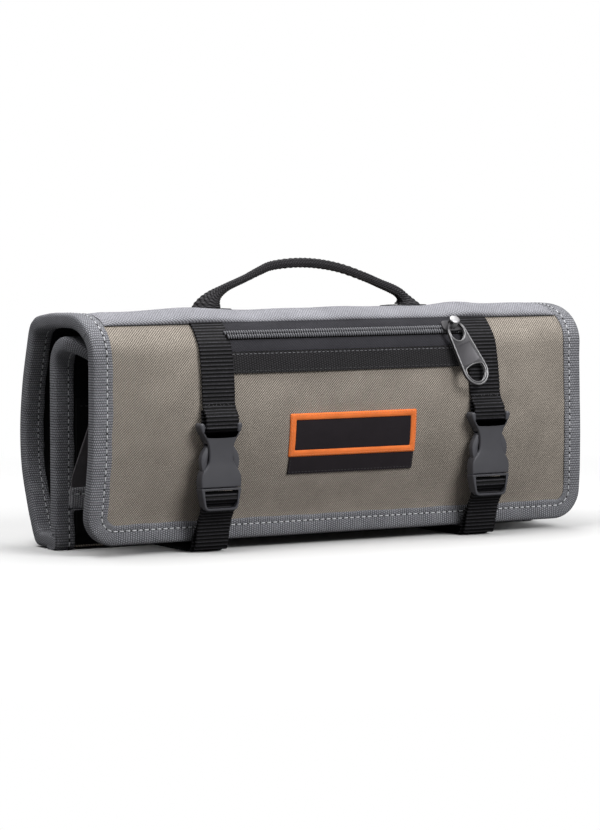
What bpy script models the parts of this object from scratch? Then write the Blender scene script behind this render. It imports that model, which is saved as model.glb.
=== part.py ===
"""Socket roll: a padded roll-up bag that folds shut under two side release buckles.

Metres, +Z up. X runs along the roll, the flap faces -Y, and the roll stands on z = 0.
Depths below are measured back from the flap's face, and become Y by one shift.
"""
import math

import bmesh
import bpy
from mathutils import Matrix, Vector

MM = 0.001

# Overall size
LENGTH = 396 * MM
GAP = 0.3 * MM

# Padded sheet: outer cloth, foam board and lining, with tape folded over its edges
CLOTH_T = 1.2 * MM
BOARD_T = 5.0 * MM
LINING_T = 0.8 * MM
SHEET_T = CLOTH_T + BOARD_T + LINING_T + 2 * GAP
TAPE_T = 1.2 * MM
TAPE_W = 15.5 * MM
FLAP_CORNER_R = 21 * MM

# Outline of the shell seen from the end, as (depth, height) of the cloth's outer face
FRONT_DEPTH = 0 * MM
CORNER_DEPTH = 38 * MM
CORNER_HEIGHT = 26 * MM
TOP_HEIGHT = 162 * MM
SEAM_TURN = 41
REAR_TOP_DEPTH = 96 * MM
REAR_TOP_HEIGHT = TOP_HEIGHT - 6 * MM
BACK_DEPTH = 114 * MM
BACK_MID_HEIGHT = 0.506 * TOP_HEIGHT
REAR_BASE_DEPTH = 93 * MM
BASE_FRONT_DEPTH = 58 * MM
FLAP_EDGE_HEIGHT = 7 * MM
FLAP_EDGE_DEPTH = 7 * MM
FLAP_BULGE = 0.0555 * TOP_HEIGHT
BULGE_LEAN = 0.7

# Inner leaf: a panel that stands on the base strip and curls over at its top
LEAF_FRONT_DEPTH = BASE_FRONT_DEPTH
CURL_R = 20 * MM
CURL_HEIGHT = TOP_HEIGHT - 36 * MM
CURL_END_HEIGHT = CURL_HEIGHT - CURL_R
CURL_INSET = 13 * MM
COVER_T = 1.2 * MM
COVER_INSET = 7 * MM
COVER_FOOT_DEPTH = 49 * MM
COVER_FOOT_HEIGHT = 29 * MM
POCKET_SHEET_T = 2 * MM
POCKET_SHEET_H = 0.57 * TOP_HEIGHT

# Sewn row of socket pockets on the lining of the back
POCKET_COUNT = 7
POCKET_ROW_LENGTH = 352 * MM
POCKET_DEPTH = 11 * MM
POCKET_WALL = 1.5 * MM
POCKET_LOW = 0.272 * TOP_HEIGHT
POCKET_HIGH = 0.642 * TOP_HEIGHT

# Webbing
WEB_W = 25 * MM
WEB_T = 1.6 * MM
STRAP_X = 109 * MM
STITCH_HEIGHT = 99 * MM
TAIL_HEIGHT = 3.4 * MM
UNDER_START_DEPTH = 15 * MM
UNDER_END_DEPTH = 86 * MM

# Side release buckles, measured up from the socket's mouth and out from its back
MOUTH_HEIGHT = 42.5 * MM
BUCKLE_W = 34.6 * MM
BUCKLE_T = 11 * MM
BUCKLE_WALL = 2.2 * MM
BUCKLE_OFF_STRAP = 0.5 * MM
SOCKET_L = 45.8 * MM
SOCKET_PLATE_TOP = 35.4 * MM
SOCKET_CAVITY = 31 * MM
WEB_BAR_R = 1.5 * MM
WEB_BAR_UP = 41.2 * MM
PLUG_L = 15.2 * MM
PLUG_TOP = -0.4 * MM
LADDER_UP = -7.5 * MM
LADDER_OUT = 6.2 * MM
LADDER_R = 1.4 * MM
TONGUE_W = 4 * MM
PRONG_X = 11.4 * MM
PRONG_L = 28.4 * MM
TONGUE_L = 24 * MM
PRONG_FOOT = 0.1 * MM

# Zip pocket, measured down the flap from the seam under the edge band
COIL_START = 9.5 * MM
COIL_W = 7.5 * MM
COIL_T = 2.2 * MM
ZIP_TAPE_T = 0.9 * MM
ZIP_TAPE_END = 24.2 * MM
FACING_START = 24.5 * MM
FACING_END = 38.7 * MM
FACING_T = 1.2 * MM
BAG_T = 0.8 * MM
BAG_ABOVE_EDGE = 37 * MM
SLIDER_X = 85.5 * MM
SLIDER_L = 15 * MM
SLIDER_W = 9.2 * MM
PULL_L = 50 * MM
PULL_W_TOP = 16 * MM
PULL_W_END = 22 * MM
PULL_T = 1.7 * MM
PULL_RIM = 1.9 * MM
PULL_EYE_L = 14 * MM
PULL_RING_L = 15 * MM
PULL_TILT = math.radians(21.5)
PULL_SAG = math.radians(23)

# Label, measured up from the ground
LABEL_W = 102 * MM
LABEL_TOP = 93 * MM
LABEL_SPLIT = 63 * MM
LABEL_BASE = 51 * MM
LABEL_RIM = 4.6 * MM
LABEL_T = 1.1 * MM

# Edge band over the top front seam, and the carrying handle
BAND_W = 26.5 * MM
BAND_T = 1.8 * MM
HANDLE_DEPTH = 58 * MM
HANDLE_X = 80.5 * MM
HANDLE_T = 3 * MM
HANDLE_FOOT_W = 18 * MM
HANDLE_NECK_W = 6 * MM
HANDLE_RISE = 28.8 * MM
ANCHOR_L = 25 * MM

# Hinge lines lie this far out of the folded sheets, clear of what is sewn beside them
FLAP_HINGE_OUT = 2.4 * MM
CURL_HINGE_OUT = 1.8 * MM

# The origin lies under the middle of the whole object's box
BUCKLE_DEPTH = -(FLAP_BULGE * 0.95 + BUCKLE_OFF_STRAP)
FRONT_REACH = BUCKLE_DEPTH - BUCKLE_T
BACK_REACH = BACK_DEPTH + GAP + TAPE_T
SHIFT_Y = -(FRONT_REACH + BACK_REACH) / 2

COLOURS = {
    "taupe_cloth": ((0.215, 0.180, 0.145), 0.85, 0.0),
    "grey_tape": ((0.150, 0.153, 0.170), 0.85, 0.0),
    "black_web": ((0.018, 0.018, 0.022), 0.70, 0.0),
    "black_cloth": ((0.012, 0.012, 0.014), 0.90, 0.0),
    "charcoal_cloth": ((0.045, 0.042, 0.048), 0.90, 0.0),
    "foam": ((0.060, 0.060, 0.062), 0.95, 0.0),
    "buckle_plastic": ((0.055, 0.055, 0.062), 0.42, 0.0),
    "zip_black": ((0.020, 0.020, 0.022), 0.45, 0.0),
    "zip_metal": ((0.420, 0.415, 0.410), 0.30, 1.0),
    "label_black": ((0.022, 0.018, 0.022), 0.80, 0.0),
    "label_orange": ((0.850, 0.190, 0.045), 0.75, 0.0),
}


def clear_scene():
    """Remove whatever objects the file opened with."""
    for obj in list(bpy.data.objects):
        bpy.data.objects.remove(obj, do_unlink=True)


def material(name):
    """Principled material of one of the object's own finishes."""
    found = bpy.data.materials.get(name)
    if found:
        return found
    colour, roughness, metallic = COLOURS[name]
    made = bpy.data.materials.new(name)
    made.use_nodes = True
    shader = made.node_tree.nodes["Principled BSDF"]
    shader.inputs["Base Color"].default_value = (*colour, 1.0)
    shader.inputs["Roughness"].default_value = roughness
    shader.inputs["Metallic"].default_value = metallic
    return made


def add_object(name, verts, faces, finish, smooth=False):
    """Make one closed, outward facing mesh object."""
    mesh = bpy.data.meshes.new(name)
    mesh.from_pydata([tuple(v) for v in verts], [], faces)
    work = bmesh.new()
    work.from_mesh(mesh)
    bmesh.ops.recalc_face_normals(work, faces=work.faces)
    work.to_mesh(mesh)
    work.free()
    if smooth:
        mesh.shade_smooth()
        mesh.set_sharp_from_angle(angle=math.radians(35))
    mesh.materials.append(material(finish))
    obj = bpy.data.objects.new(name, mesh)
    bpy.context.scene.collection.objects.link(obj)
    return obj


def combine(target, other, operation):
    """Join or cut a piece with another solid, which is used up."""
    step = target.modifiers.new("shape", "BOOLEAN")
    step.operation = operation
    step.solver = "EXACT"
    step.object = other
    bpy.context.view_layer.update()
    graph = bpy.context.evaluated_depsgraph_get()
    result = bpy.data.meshes.new_from_object(target.evaluated_get(graph))
    target.modifiers.clear()
    target.data = result
    bpy.data.objects.remove(other, do_unlink=True)


def spline(points, steps):
    """Points on a smooth curve through the given ones."""
    ends = [2 * points[0] - points[1]] + points + [2 * points[-1] - points[-2]]
    result = []
    for i in range(1, len(ends) - 2):
        a, b, c, d = ends[i - 1:i + 3]
        for k in range(steps):
            t = k / steps
            result.append(0.5 * (2 * b + (c - a) * t + (2 * a - 5 * b + 4 * c - d) * t * t
                                 + (3 * b - a - 3 * c + d) * t ** 3))
    result.append(points[-1])
    return result


def arc(centre, radius, start, end, steps):
    """Points on an arc, with angles in degrees from the first axis."""
    return [centre + radius * Vector((math.cos(math.radians(start + (end - start) * k / steps)),
                                      math.sin(math.radians(start + (end - start) * k / steps))))
            for k in range(steps + 1)]


class Outline:
    """A bent sheet's outer face seen from the end, with distances run from a seam."""

    def __init__(self, points, seam, stops=()):
        lengths = [0.0]
        for a, b in zip(points, points[1:]):
            lengths.append(lengths[-1] + (b - a).length)
        self.points = points
        self.runs = [run - lengths[seam] for run in lengths]
        for stop in stops:
            self.insert(stop)
        self.offsets = self.mitres()

    def insert(self, run):
        """Add a corner at a run, on the straight between its neighbours."""
        for i, (low, high) in enumerate(zip(self.runs, self.runs[1:])):
            if low + 0.2 * MM < run < high - 0.2 * MM:
                share = (run - low) / (high - low)
                self.points.insert(i + 1, self.points[i].lerp(self.points[i + 1], share))
                self.runs.insert(i + 1, run)
                return

    def mitres(self):
        """Offset direction at each corner, so that layers stay parallel."""
        normals = []
        for a, b in zip(self.points, self.points[1:]):
            way = (b - a).normalized()
            normals.append(Vector((way.y, -way.x)))
        result = [normals[0]]
        for a, b in zip(normals, normals[1:]):
            middle = (a + b).normalized()
            result.append(middle / middle.dot(a))
        return result + [normals[-1]]

    def at(self, run, out):
        """Depth and height at a run along the sheet and a distance out of it."""
        for i, (low, high) in enumerate(zip(self.runs, self.runs[1:])):
            if run <= high or i == len(self.runs) - 2:
                share = (run - low) / (high - low)
                a = self.points[i] + self.offsets[i] * out
                b = self.points[i + 1] + self.offsets[i + 1] * out
                return a.lerp(b, share)
        return self.points[-1]

    def stations(self, start, end):
        """The runs of all corners between two runs, and the two themselves."""
        inside = [run for run in self.runs if start + 0.2 * MM < run < end - 0.2 * MM]
        return [start] + inside + [end]

    def run_at_height(self, height):
        """The run beyond the seam where the outer face has this height."""
        for i in range(len(self.runs) - 1):
            a, b = self.points[i], self.points[i + 1]
            if self.runs[i] >= -GAP and a.y >= height >= b.y:
                return self.runs[i] + (a.y - height) / (a.y - b.y) * (self.runs[i + 1] - self.runs[i])
        return self.runs[-1]


def pair(depth, height):
    """A point of the end view."""
    return Vector((depth, height))


def world(x, depth, height):
    """A point of the object, from its place along the roll and in the end view."""
    return Vector((x, depth + SHIFT_Y, height))


BASE_HEIGHT = WEB_T + GAP


def corner_point(turn):
    """A point of the top front corner, an ellipse, at an angle in degrees from its top."""
    angle = math.radians(turn)
    return pair(FRONT_DEPTH + CORNER_DEPTH * (1 - math.sin(angle)),
                TOP_HEIGHT - CORNER_HEIGHT * (1 - math.cos(angle)))


def shell_outline():
    """The one sheet from the base strip, up the back, over the top and down the flap."""
    corner = 8 * MM
    base = [pair(BASE_FRONT_DEPTH, BASE_HEIGHT)]
    base += arc(pair(REAR_BASE_DEPTH - corner, BASE_HEIGHT + corner), corner, -90, -25, 3)
    back = spline([pair(REAR_BASE_DEPTH + 1.5 * MM, BASE_HEIGHT + corner),
                   pair(BACK_DEPTH - 11 * MM, 0.173 * TOP_HEIGHT),
                   pair(BACK_DEPTH - 2 * MM, 0.333 * TOP_HEIGHT),
                   pair(BACK_DEPTH, BACK_MID_HEIGHT),
                   pair(BACK_DEPTH - 4 * MM, 0.691 * TOP_HEIGHT),
                   pair(BACK_DEPTH - 12 * MM, 0.864 * TOP_HEIGHT),
                   pair(REAR_TOP_DEPTH + 2 * MM, REAR_TOP_HEIGHT - 5 * MM)], 2)
    top = spline([pair(REAR_TOP_DEPTH - 3 * MM, REAR_TOP_HEIGHT),
                  pair(REAR_TOP_DEPTH - 11 * MM, TOP_HEIGHT - 2.9 * MM),
                  pair(CORNER_DEPTH + 24 * MM, TOP_HEIGHT - 0.4 * MM)], 2)
    top += [corner_point(turn) for turn in (0, SEAM_TURN / 3, 2 * SEAM_TURN / 3, SEAM_TURN)]
    flap = [corner_point(SEAM_TURN + (90 - SEAM_TURN) * k / 6) for k in range(7)]
    straight = [flap[-1].lerp(pair(FRONT_DEPTH, 0.62 * TOP_HEIGHT), k / 2) for k in (1, 2)]
    foot = [pair(FRONT_DEPTH + lean * FLAP_EDGE_DEPTH, height * TOP_HEIGHT) for lean, height in
            ((0.04, 0.5), (0.13, 0.4), (0.37, 0.278), (0.66, 0.185))]
    foot += [pair(FLAP_EDGE_DEPTH, FLAP_EDGE_HEIGHT)]
    points = base + back + top + flap[1:] + straight + foot
    seam = len(base) + len(back) + len(top) - 1
    stops = (COIL_START, COIL_START + COIL_W / 2, COIL_START + COIL_W, ZIP_TAPE_END, FACING_START,
             FACING_END)
    return Outline(points, seam, stops)


SHELL = shell_outline()
FLAP_END = SHELL.runs[-1]
BULGE_START = COIL_START + 2.5 * MM
BULGE_END = FLAP_END - TAPE_W - 2 * GAP
BULGE_EDGE = LENGTH / 2 - TAPE_W - 1.5 * MM
COLUMNS = (0.0, LABEL_W / 4, LABEL_W / 2, (LABEL_W / 2 + STRAP_X - WEB_W / 2) / 2, STRAP_X - WEB_W / 2,
           STRAP_X + WEB_W / 2, (STRAP_X + WEB_W / 2 + BULGE_EDGE) / 2)


def bulge(x, run):
    """How far the packed flap swells forward of its edges, straight between columns and rows."""
    reach = 1 - min(1.0, abs(x) / BULGE_EDGE) ** 4
    share = min(1.0, max(0.0, (run - BULGE_START) / (BULGE_END - BULGE_START)))
    return FLAP_BULGE * reach * math.sin(math.pi * share) * (1 + BULGE_LEAN * (0.5 - share))


def flap_point(x, run, out):
    """A point on or over the flap."""
    depth, height = SHELL.at(run, out)
    return world(x, depth - bulge(x, run), height)


def shell_point(x, run, out):
    """A point on or over the still part of the shell."""
    depth, height = SHELL.at(run, out)
    return world(x, depth, height)


def slab(name, place, rows, columns, low, high, finish):
    """A bent plate: columns(run) gives its places along the roll, low and high its two faces."""
    grid = [(run, x) for run in rows for x in columns(run)]
    wide = len(columns(rows[0]))
    deep = len(rows)
    verts = [place(x, run, low) for run, x in grid] + [place(x, run, high) for run, x in grid]
    shift = len(grid)
    faces = []
    for j in range(deep - 1):
        for i in range(wide - 1):
            a, b = j * wide + i, j * wide + i + 1
            c, d = a + wide, b + wide
            for layer in (0, shift):
                faces.append((a + layer, b + layer, d + layer))
                faces.append((a + layer, d + layer, c + layer))
    for i in range(wide - 1):
        for base in (i, (deep - 1) * wide + i):
            faces.append((base, base + 1, base + 1 + shift, base + shift))
    for j in range(deep - 1):
        for base in (j * wide, (j + 1) * wide - 1):
            faces.append((base, base + wide, base + wide + shift, base + shift))
    return add_object(name, verts, faces, finish)


def section_sweep(name, stations, finish):
    """A tube through rings of points, closed by a face at each end."""
    size = len(stations[0])
    verts = [point for ring in stations for point in ring]
    faces = [tuple(range(size)), tuple(range((len(stations) - 1) * size, len(stations) * size))]
    for j in range(len(stations) - 1):
        for i in range(size):
            a, b = j * size + i, j * size + (i + 1) % size
            faces.append((a, b, b + size, a + size))
    return add_object(name, verts, faces, finish)


def tape_section(thickness):
    """A tape folded over an edge, as (distance in from the edge, distance out of the sheet)."""
    low, high = -thickness - GAP, GAP
    return ((0, high + TAPE_T), (TAPE_W, high + TAPE_T), (TAPE_W, high), (TAPE_T, high),
            (TAPE_T, low), (TAPE_W, low), (TAPE_W, low - TAPE_T), (0, low - TAPE_T))


def end_tape(name, place, rows, end, side):
    """The tape folded over one end of a bent sheet."""
    rings = [[place(side * (end - inward), run, out) for inward, out in tape_section(SHEET_T)]
             for run in rows]
    return section_sweep(name, rings, "grey_tape")


def layers(prefix, place, rows, columns, outer, inner):
    """The three layers of a padded sheet, from its outer face inwards."""
    bounds = (("cloth", 0.0, CLOTH_T, outer), ("board", CLOTH_T + GAP, BOARD_T, "foam"),
              ("lining", CLOTH_T + BOARD_T + 2 * GAP, LINING_T, inner))
    for part, start, thickness, finish in bounds:
        slab(f"{prefix}_{part}", place, rows, columns, -start - thickness, -start, finish)


EDGE_IN = TAPE_T + GAP


def straight_columns(half):
    """Columns of a plain sheet that has only its two ends."""
    return lambda run: (-half, half)


def build_shell():
    """The still part: base strip, back and top, with their tapes and the edge band."""
    rows = SHELL.stations(SHELL.runs[0], -GAP / 2)
    layers("shell", shell_point, rows, straight_columns(LENGTH / 2 - EDGE_IN), "taupe_cloth", "black_cloth")
    for side, word in ((-1, "left"), (1, "right")):
        end_tape(f"shell_edge_tape_{word}", shell_point, rows, LENGTH / 2, side)
    band = SHELL.stations(-BAND_W, -GAP / 2)
    slab("top_edge_band", shell_point, band, straight_columns(LENGTH / 2 - TAPE_W - GAP), GAP,
         GAP + BAND_T, "grey_tape")


def flap_half_width(run, inset):
    """Half the flap's width at a run, with its rounded lower corners."""
    half = LENGTH / 2 - inset
    radius = FLAP_CORNER_R - inset
    over = run - (FLAP_END - FLAP_CORNER_R)
    if over <= 0:
        return half
    return half - radius + math.sqrt(max(0.0, radius ** 2 - min(over, radius) ** 2))


def flap_columns(run):
    """Columns of the flap's sheet, which follow its rounded corners at the ends."""
    half = flap_half_width(run, EDGE_IN)
    full = flap_half_width(0.0, EDGE_IN)
    outer = [BULGE_EDGE * half / full, half]
    right = [x for x in COLUMNS if x > 0] + outer
    return [-x for x in reversed(right)] + [0.0] + right


def flap_rows():
    """Rows of the flap's sheet, closer together round its lower corners."""
    rows = SHELL.stations(GAP / 2, FLAP_END - FLAP_CORNER_R)
    radius = FLAP_CORNER_R - EDGE_IN
    rounds = [FLAP_END - FLAP_CORNER_R + radius * math.sin(math.radians(angle))
              for angle in (20, 40, 58, 75, 90)]
    return rows + rounds


def flap_edge_path():
    """Places along the flap's edge, each with the way inwards, from one seam end to the other."""
    half = LENGTH / 2
    corner = FLAP_END - FLAP_CORNER_R
    path = [(-half, run, 1.0, 0.0) for run in SHELL.stations(GAP / 2, corner)]
    for k in range(1, 7):
        angle = math.radians(15 * k)
        path.append((-half + FLAP_CORNER_R - FLAP_CORNER_R * math.cos(angle),
                     corner + FLAP_CORNER_R * math.sin(angle), math.cos(angle), -math.sin(angle)))
    return path + [(-x, run, -inward, up) for x, run, inward, up in reversed(path)]


def build_flap():
    """The front flap's sheet, its pocket bag and the tape round its three free edges."""
    rows = flap_rows()
    slab("flap_cloth", flap_point, rows, flap_columns, -CLOTH_T, 0.0, "taupe_cloth")
    bag = straight_pocket_columns()
    bag_top = -CLOTH_T - GAP
    bag_rows = SHELL.stations(GAP / 2, FLAP_END - BAG_ABOVE_EDGE)
    slab("zip_pocket_bag", flap_point, bag_rows, bag, bag_top - BAG_T, bag_top, "black_cloth")
    board_top = bag_top - BAG_T - GAP
    board_base = -CLOTH_T - GAP - BOARD_T
    slab("flap_board", flap_point, rows, flap_columns, board_base, board_top, "foam")
    slab("flap_lining", flap_point, rows, flap_columns, -SHEET_T, -SHEET_T + LINING_T, "black_cloth")
    rings = [[flap_point(x + inward * way, run + inward * up, out)
              for inward, out in tape_section(SHEET_T)] for x, run, way, up in flap_edge_path()]
    section_sweep("flap_edge_tape", rings, "grey_tape")


def straight_pocket_columns():
    """Columns between the two straps."""
    inner = STRAP_X - WEB_W / 2
    right = [x for x in COLUMNS if 0 < x <= inner + GAP]
    return lambda run: [-x for x in reversed(right)] + [0.0] + right


def build_zip():
    """Zip tapes, coil and the cloth facing under them, between the two straps."""
    inner = STRAP_X - WEB_W / 2 - GAP
    pocket = straight_pocket_columns()
    columns = lambda run: [max(-inner, min(inner, x)) for x in pocket(run)]
    middle = COIL_START + COIL_W / 2
    slab("zip_tape_upper", flap_point, SHELL.stations(GAP, middle - GAP / 2), columns, GAP,
         GAP + ZIP_TAPE_T, "black_web")
    slab("zip_tape_lower", flap_point, SHELL.stations(middle + GAP / 2, ZIP_TAPE_END), columns, GAP,
         GAP + ZIP_TAPE_T, "black_web")
    low = 2 * GAP + ZIP_TAPE_T
    slab("zip_coil", flap_point, SHELL.stations(COIL_START, COIL_START + COIL_W), columns, low,
         low + COIL_T, "zip_black")
    slab("zip_facing", flap_point, SHELL.stations(FACING_START, FACING_END), columns, GAP,
         GAP + FACING_T, "black_cloth")


def build_label():
    """Blank woven label: orange rim, black field, and a black strip below it."""
    half = LABEL_W / 2
    rise = [SHELL.run_at_height(height) for height in (LABEL_TOP, LABEL_SPLIT, LABEL_BASE)]
    rim = LABEL_RIM

    def columns(edge):
        return lambda run: (-edge, -LABEL_W / 4, 0.0, LABEL_W / 4, edge)

    frame = slab("label_rim", flap_point, SHELL.stations(rise[0], rise[1]), columns(half), GAP,
                 GAP + LABEL_T, "label_orange")
    hole = slab("label_hole", flap_point, SHELL.stations(rise[0] + rim, rise[1] - rim),
                columns(half - rim), -2 * MM, 5 * MM, "label_orange")
    combine(frame, hole, "DIFFERENCE")
    slab("label_field", flap_point, SHELL.stations(rise[0] + rim + GAP, rise[1] - rim - GAP),
         columns(half - rim - GAP), GAP, GAP + LABEL_T, "label_black")
    slab("label_strip", flap_point, SHELL.stations(rise[1] + GAP, rise[2]), columns(half - 1 * MM), GAP,
         GAP + LABEL_T, "label_black")


def ribbon(name, left, right, path, thickness, finish):
    """Webbing of one thickness along a path of the end view, between two places along the roll."""
    ways = [(b - a).normalized() for a, b in zip(path, path[1:])]
    sides = [Vector((way.y, -way.x)) for way in ways]
    offsets = [sides[0]]
    for a, b in zip(sides, sides[1:]):
        middle = (a + b).normalized()
        offsets.append(middle / middle.dot(a))
    offsets.append(sides[-1])
    one = [p + o * thickness / 2 for p, o in zip(path, offsets)]
    two = [p - o * thickness / 2 for p, o in zip(path, offsets)]
    count = len(path)
    verts = []
    for x in (left, right):
        verts += [world(x, *p) for p in one] + [world(x, *p) for p in two]
    faces = []
    other = 2 * count
    for i in range(count - 1):
        j = i + count
        faces.append((i, i + 1, i + 1 + other, i + other))
        faces.append((j, j + 1, j + 1 + other, j + other))
        for base in (0, other):
            faces.append((i + base, i + 1 + base, j + 1 + base, j + base))
    for i in (0, count - 1):
        faces.append((i, i + count, i + count + other, i + other))
    return add_object(name, verts, faces, finish)


def strap_face(x, height, out):
    """Depth and height of a place in front of the flap, clear of the swell across a strap."""
    run = SHELL.run_at_height(height)
    depth = SHELL.at(run, 0.0).x
    return pair(depth - bulge(x, run) - out, height)


def build_upper_strap(word, side):
    """Webbing from the seam down to the socket's bar, round it, and back up to its stitching."""
    near = STRAP_X - WEB_W / 2
    middle = WEB_T / 2 + GAP
    path = []
    for run in SHELL.stations(GAP, SHELL.run_at_height(STITCH_HEIGHT + 4 * MM)):
        depth, height = SHELL.at(run, middle)
        path.append(pair(depth - bulge(near, run), height))
    over = middle + WEB_T + GAP
    path.append(strap_face(near, STITCH_HEIGHT - 1 * MM, over))
    bar = pair(BUCKLE_DEPTH - BUCKLE_T / 2, MOUTH_HEIGHT + WEB_BAR_UP)
    wrap = WEB_BAR_R + GAP + WEB_T / 2
    path += arc(bar, wrap, 180, 360, 8)
    path.append(strap_face(near, bar.y + 8 * MM, middle))
    path.append(strap_face(near, STITCH_HEIGHT - 1.5 * MM, middle))
    left = side * STRAP_X - WEB_W / 2
    ribbon(f"upper_strap_{word}", left, left + WEB_W, path, WEB_T, "black_web")


def build_lower_strap(word, side):
    """Webbing from under the roll, up behind the plug, over its bar and down again as the tail."""
    back = BUCKLE_DEPTH

    def local(out, up):
        return pair(back - out, MOUTH_HEIGHT + up)

    rear = GAP + WEB_T / 2
    front = rear + WEB_T + GAP
    floor = WEB_T / 2
    low = 0.5 * MM
    path = [pair(UNDER_START_DEPTH - GAP, floor)]
    path += arc(pair(FLAP_EDGE_DEPTH + 0.4 * MM, floor + 4.6 * MM), 4.6 * MM, 270, 190, 4)
    path += [pair(1.2 * MM, 11 * MM), pair(-3.0 * MM, 18 * MM)]
    path += [local(rear, -PLUG_L - low), local(rear, -12.2 * MM)]
    path += arc(local(LADDER_OUT, LADDER_UP), LADDER_R + GAP + WEB_T / 2, 25, 235, 9)
    path += [local(4.2 * MM, -11.7 * MM), local(front, -13.2 * MM), local(front, -PLUG_L - low)]
    path += [pair(-6.0 * MM, 18.2 * MM), pair(-1.8 * MM, 11 * MM), pair(-0.6 * MM, TAIL_HEIGHT)]
    left = side * STRAP_X - WEB_W / 2
    ribbon(f"lower_strap_{word}", left, left + WEB_W, path, WEB_T, "black_web")


def prism(name, outline, start, end, finish):
    """A plate cut to an outline across and up the buckle, between two distances out from its back."""
    verts = [Vector((u, -out, v)) for out in (start, end) for u, v in outline]
    size = len(outline)
    faces = [tuple(range(size)), tuple(range(size, 2 * size))]
    faces += [(i, (i + 1) % size, (i + 1) % size + size, i + size) for i in range(size)]
    return add_object(name, verts, faces, finish)


def block(name, across, up, out, finish):
    """A box given by its limits across, up and out of the buckle."""
    outline = ((across[0], up[0]), (across[1], up[0]), (across[1], up[1]), (across[0], up[1]))
    return prism(name, outline, out[0], out[1], finish)


def bar_across(name, half, up, out, radius, finish):
    """A round bar across the buckle."""
    rings = []
    for u in (-half, half):
        rings.append([Vector((u, -out + radius * math.cos(math.radians(36 * k)),
                              up + radius * math.sin(math.radians(36 * k)))) for k in range(10)])
    return section_sweep(name, rings, finish)


def mirrored(half):
    """A full outline from its right half, which runs from the bottom up."""
    return [(u, v) for u, v in half] + [(-u, v) for u, v in reversed(half)]


def build_socket(word, side):
    """Buckle socket: two waisted plates, a cavity open at the mouth, and ears with a bar."""
    half = BUCKLE_W / 2
    edge = [(across * half, up * SOCKET_L) for across, up in
            ((1.0, 0.0), (1.0, 0.109), (0.9, 0.229), (0.717, 0.338), (0.578, 0.426), (0.538, 0.524),
             (0.561, 0.622), (0.647, 0.72), (0.798, 0.83), (0.925, 0.908), (0.977, 0.961), (0.936, 1.0),
             (0.844, 0.993), (0.798, 0.952), (0.78, 0.83), (0.74, 0.79),
             (0.636, SOCKET_PLATE_TOP / SOCKET_L))]
    socket = prism(f"buckle_socket_{word}", mirrored(edge), 0.0, BUCKLE_T, "buckle_plastic")
    bar = bar_across("web_bar", 0.867 * half, WEB_BAR_UP, BUCKLE_T / 2, WEB_BAR_R, "buckle_plastic")
    combine(socket, bar, "UNION")
    inner = half - 1.1 * BUCKLE_WALL
    cavity = block("cavity", (-inner, inner), (-2 * MM, SOCKET_CAVITY),
                   (BUCKLE_WALL, BUCKLE_T - BUCKLE_WALL), "buckle_plastic")
    combine(socket, cavity, "DIFFERENCE")
    place_buckle(socket, side)


def place_buckle(obj, side):
    """Seat a buckle piece on its strap, with its origin at the socket's mouth."""
    obj.location = world(side * STRAP_X, BUCKLE_DEPTH, MOUTH_HEIGHT)


def build_plug(word, side):
    """Buckle plug: a frame with a ladder bar for the webbing, and a guide tongue."""
    half = BUCKLE_W / 2
    edge = [(0.728 * half, -PLUG_L), (0.855 * half, -0.895 * PLUG_L), (0.936 * half, -0.526 * PLUG_L),
            (0.994 * half, -0.164 * PLUG_L), (0.977 * half, PLUG_TOP)]
    thick = (GAP, BUCKLE_T - GAP)
    plug = prism(f"buckle_plug_{word}", mirrored(edge), *thick, "buckle_plastic")
    clear = WEB_W / 2 + 2 * GAP
    window = block("window", (-clear, clear), (-0.868 * PLUG_L, -0.145 * PLUG_L),
                   (-BUCKLE_T, 2 * BUCKLE_T),
                   "buckle_plastic")
    combine(plug, window, "DIFFERENCE")
    channel = block("channel", (-clear, clear), (-2 * PLUG_L, -0.79 * PLUG_L), (-BUCKLE_T, 0.418 * BUCKLE_T),
                    "buckle_plastic")
    combine(plug, channel, "DIFFERENCE")
    ladder = bar_across("ladder_bar", 0.867 * half, LADDER_UP, LADDER_OUT, LADDER_R, "buckle_plastic")
    combine(plug, ladder, "UNION")
    tongue = block("tongue", (-TONGUE_W / 2, TONGUE_W / 2), (-0.12 * PLUG_L, TONGUE_L),
                   (0.29 * BUCKLE_T, 0.71 * BUCKLE_T), "buckle_plastic")
    combine(plug, tongue, "UNION")
    place_buckle(plug, side)


def build_prong(word, side, hand, letter):
    """One spring arm of the plug, with the pad that a finger presses in the socket's window."""
    edge = [(-0.175, 0.0), (0.175, 0.0), (0.158, 0.264), (0.246, 0.44), (0.272, 0.563), (0.246, 0.74),
            (0.07, 0.894), (-0.158, 1.0), (-0.298, 0.986), (-0.281, 0.863), (-0.123, 0.687), (-0.105, 0.423)]
    outline = [(hand * across * PRONG_X, up * PRONG_L) for across, up in edge]
    depth = (BUCKLE_WALL + 2 * GAP, BUCKLE_T - BUCKLE_WALL - 2 * GAP)
    prong = prism(f"buckle_prong_{word}_{letter}", outline, *depth, "buckle_plastic")
    prong.location = world(side * STRAP_X + hand * PRONG_X, BUCKLE_DEPTH, MOUTH_HEIGHT + PRONG_FOOT)


def build_under_strap(word, side):
    """Webbing sewn flat under the base strip, on which the roll stands."""
    left = side * STRAP_X - WEB_W / 2
    path = [pair(UNDER_START_DEPTH, WEB_T / 2), pair(UNDER_END_DEPTH, WEB_T / 2)]
    ribbon(f"under_strap_{word}", left, left + WEB_W, path, WEB_T, "black_web")


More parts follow.
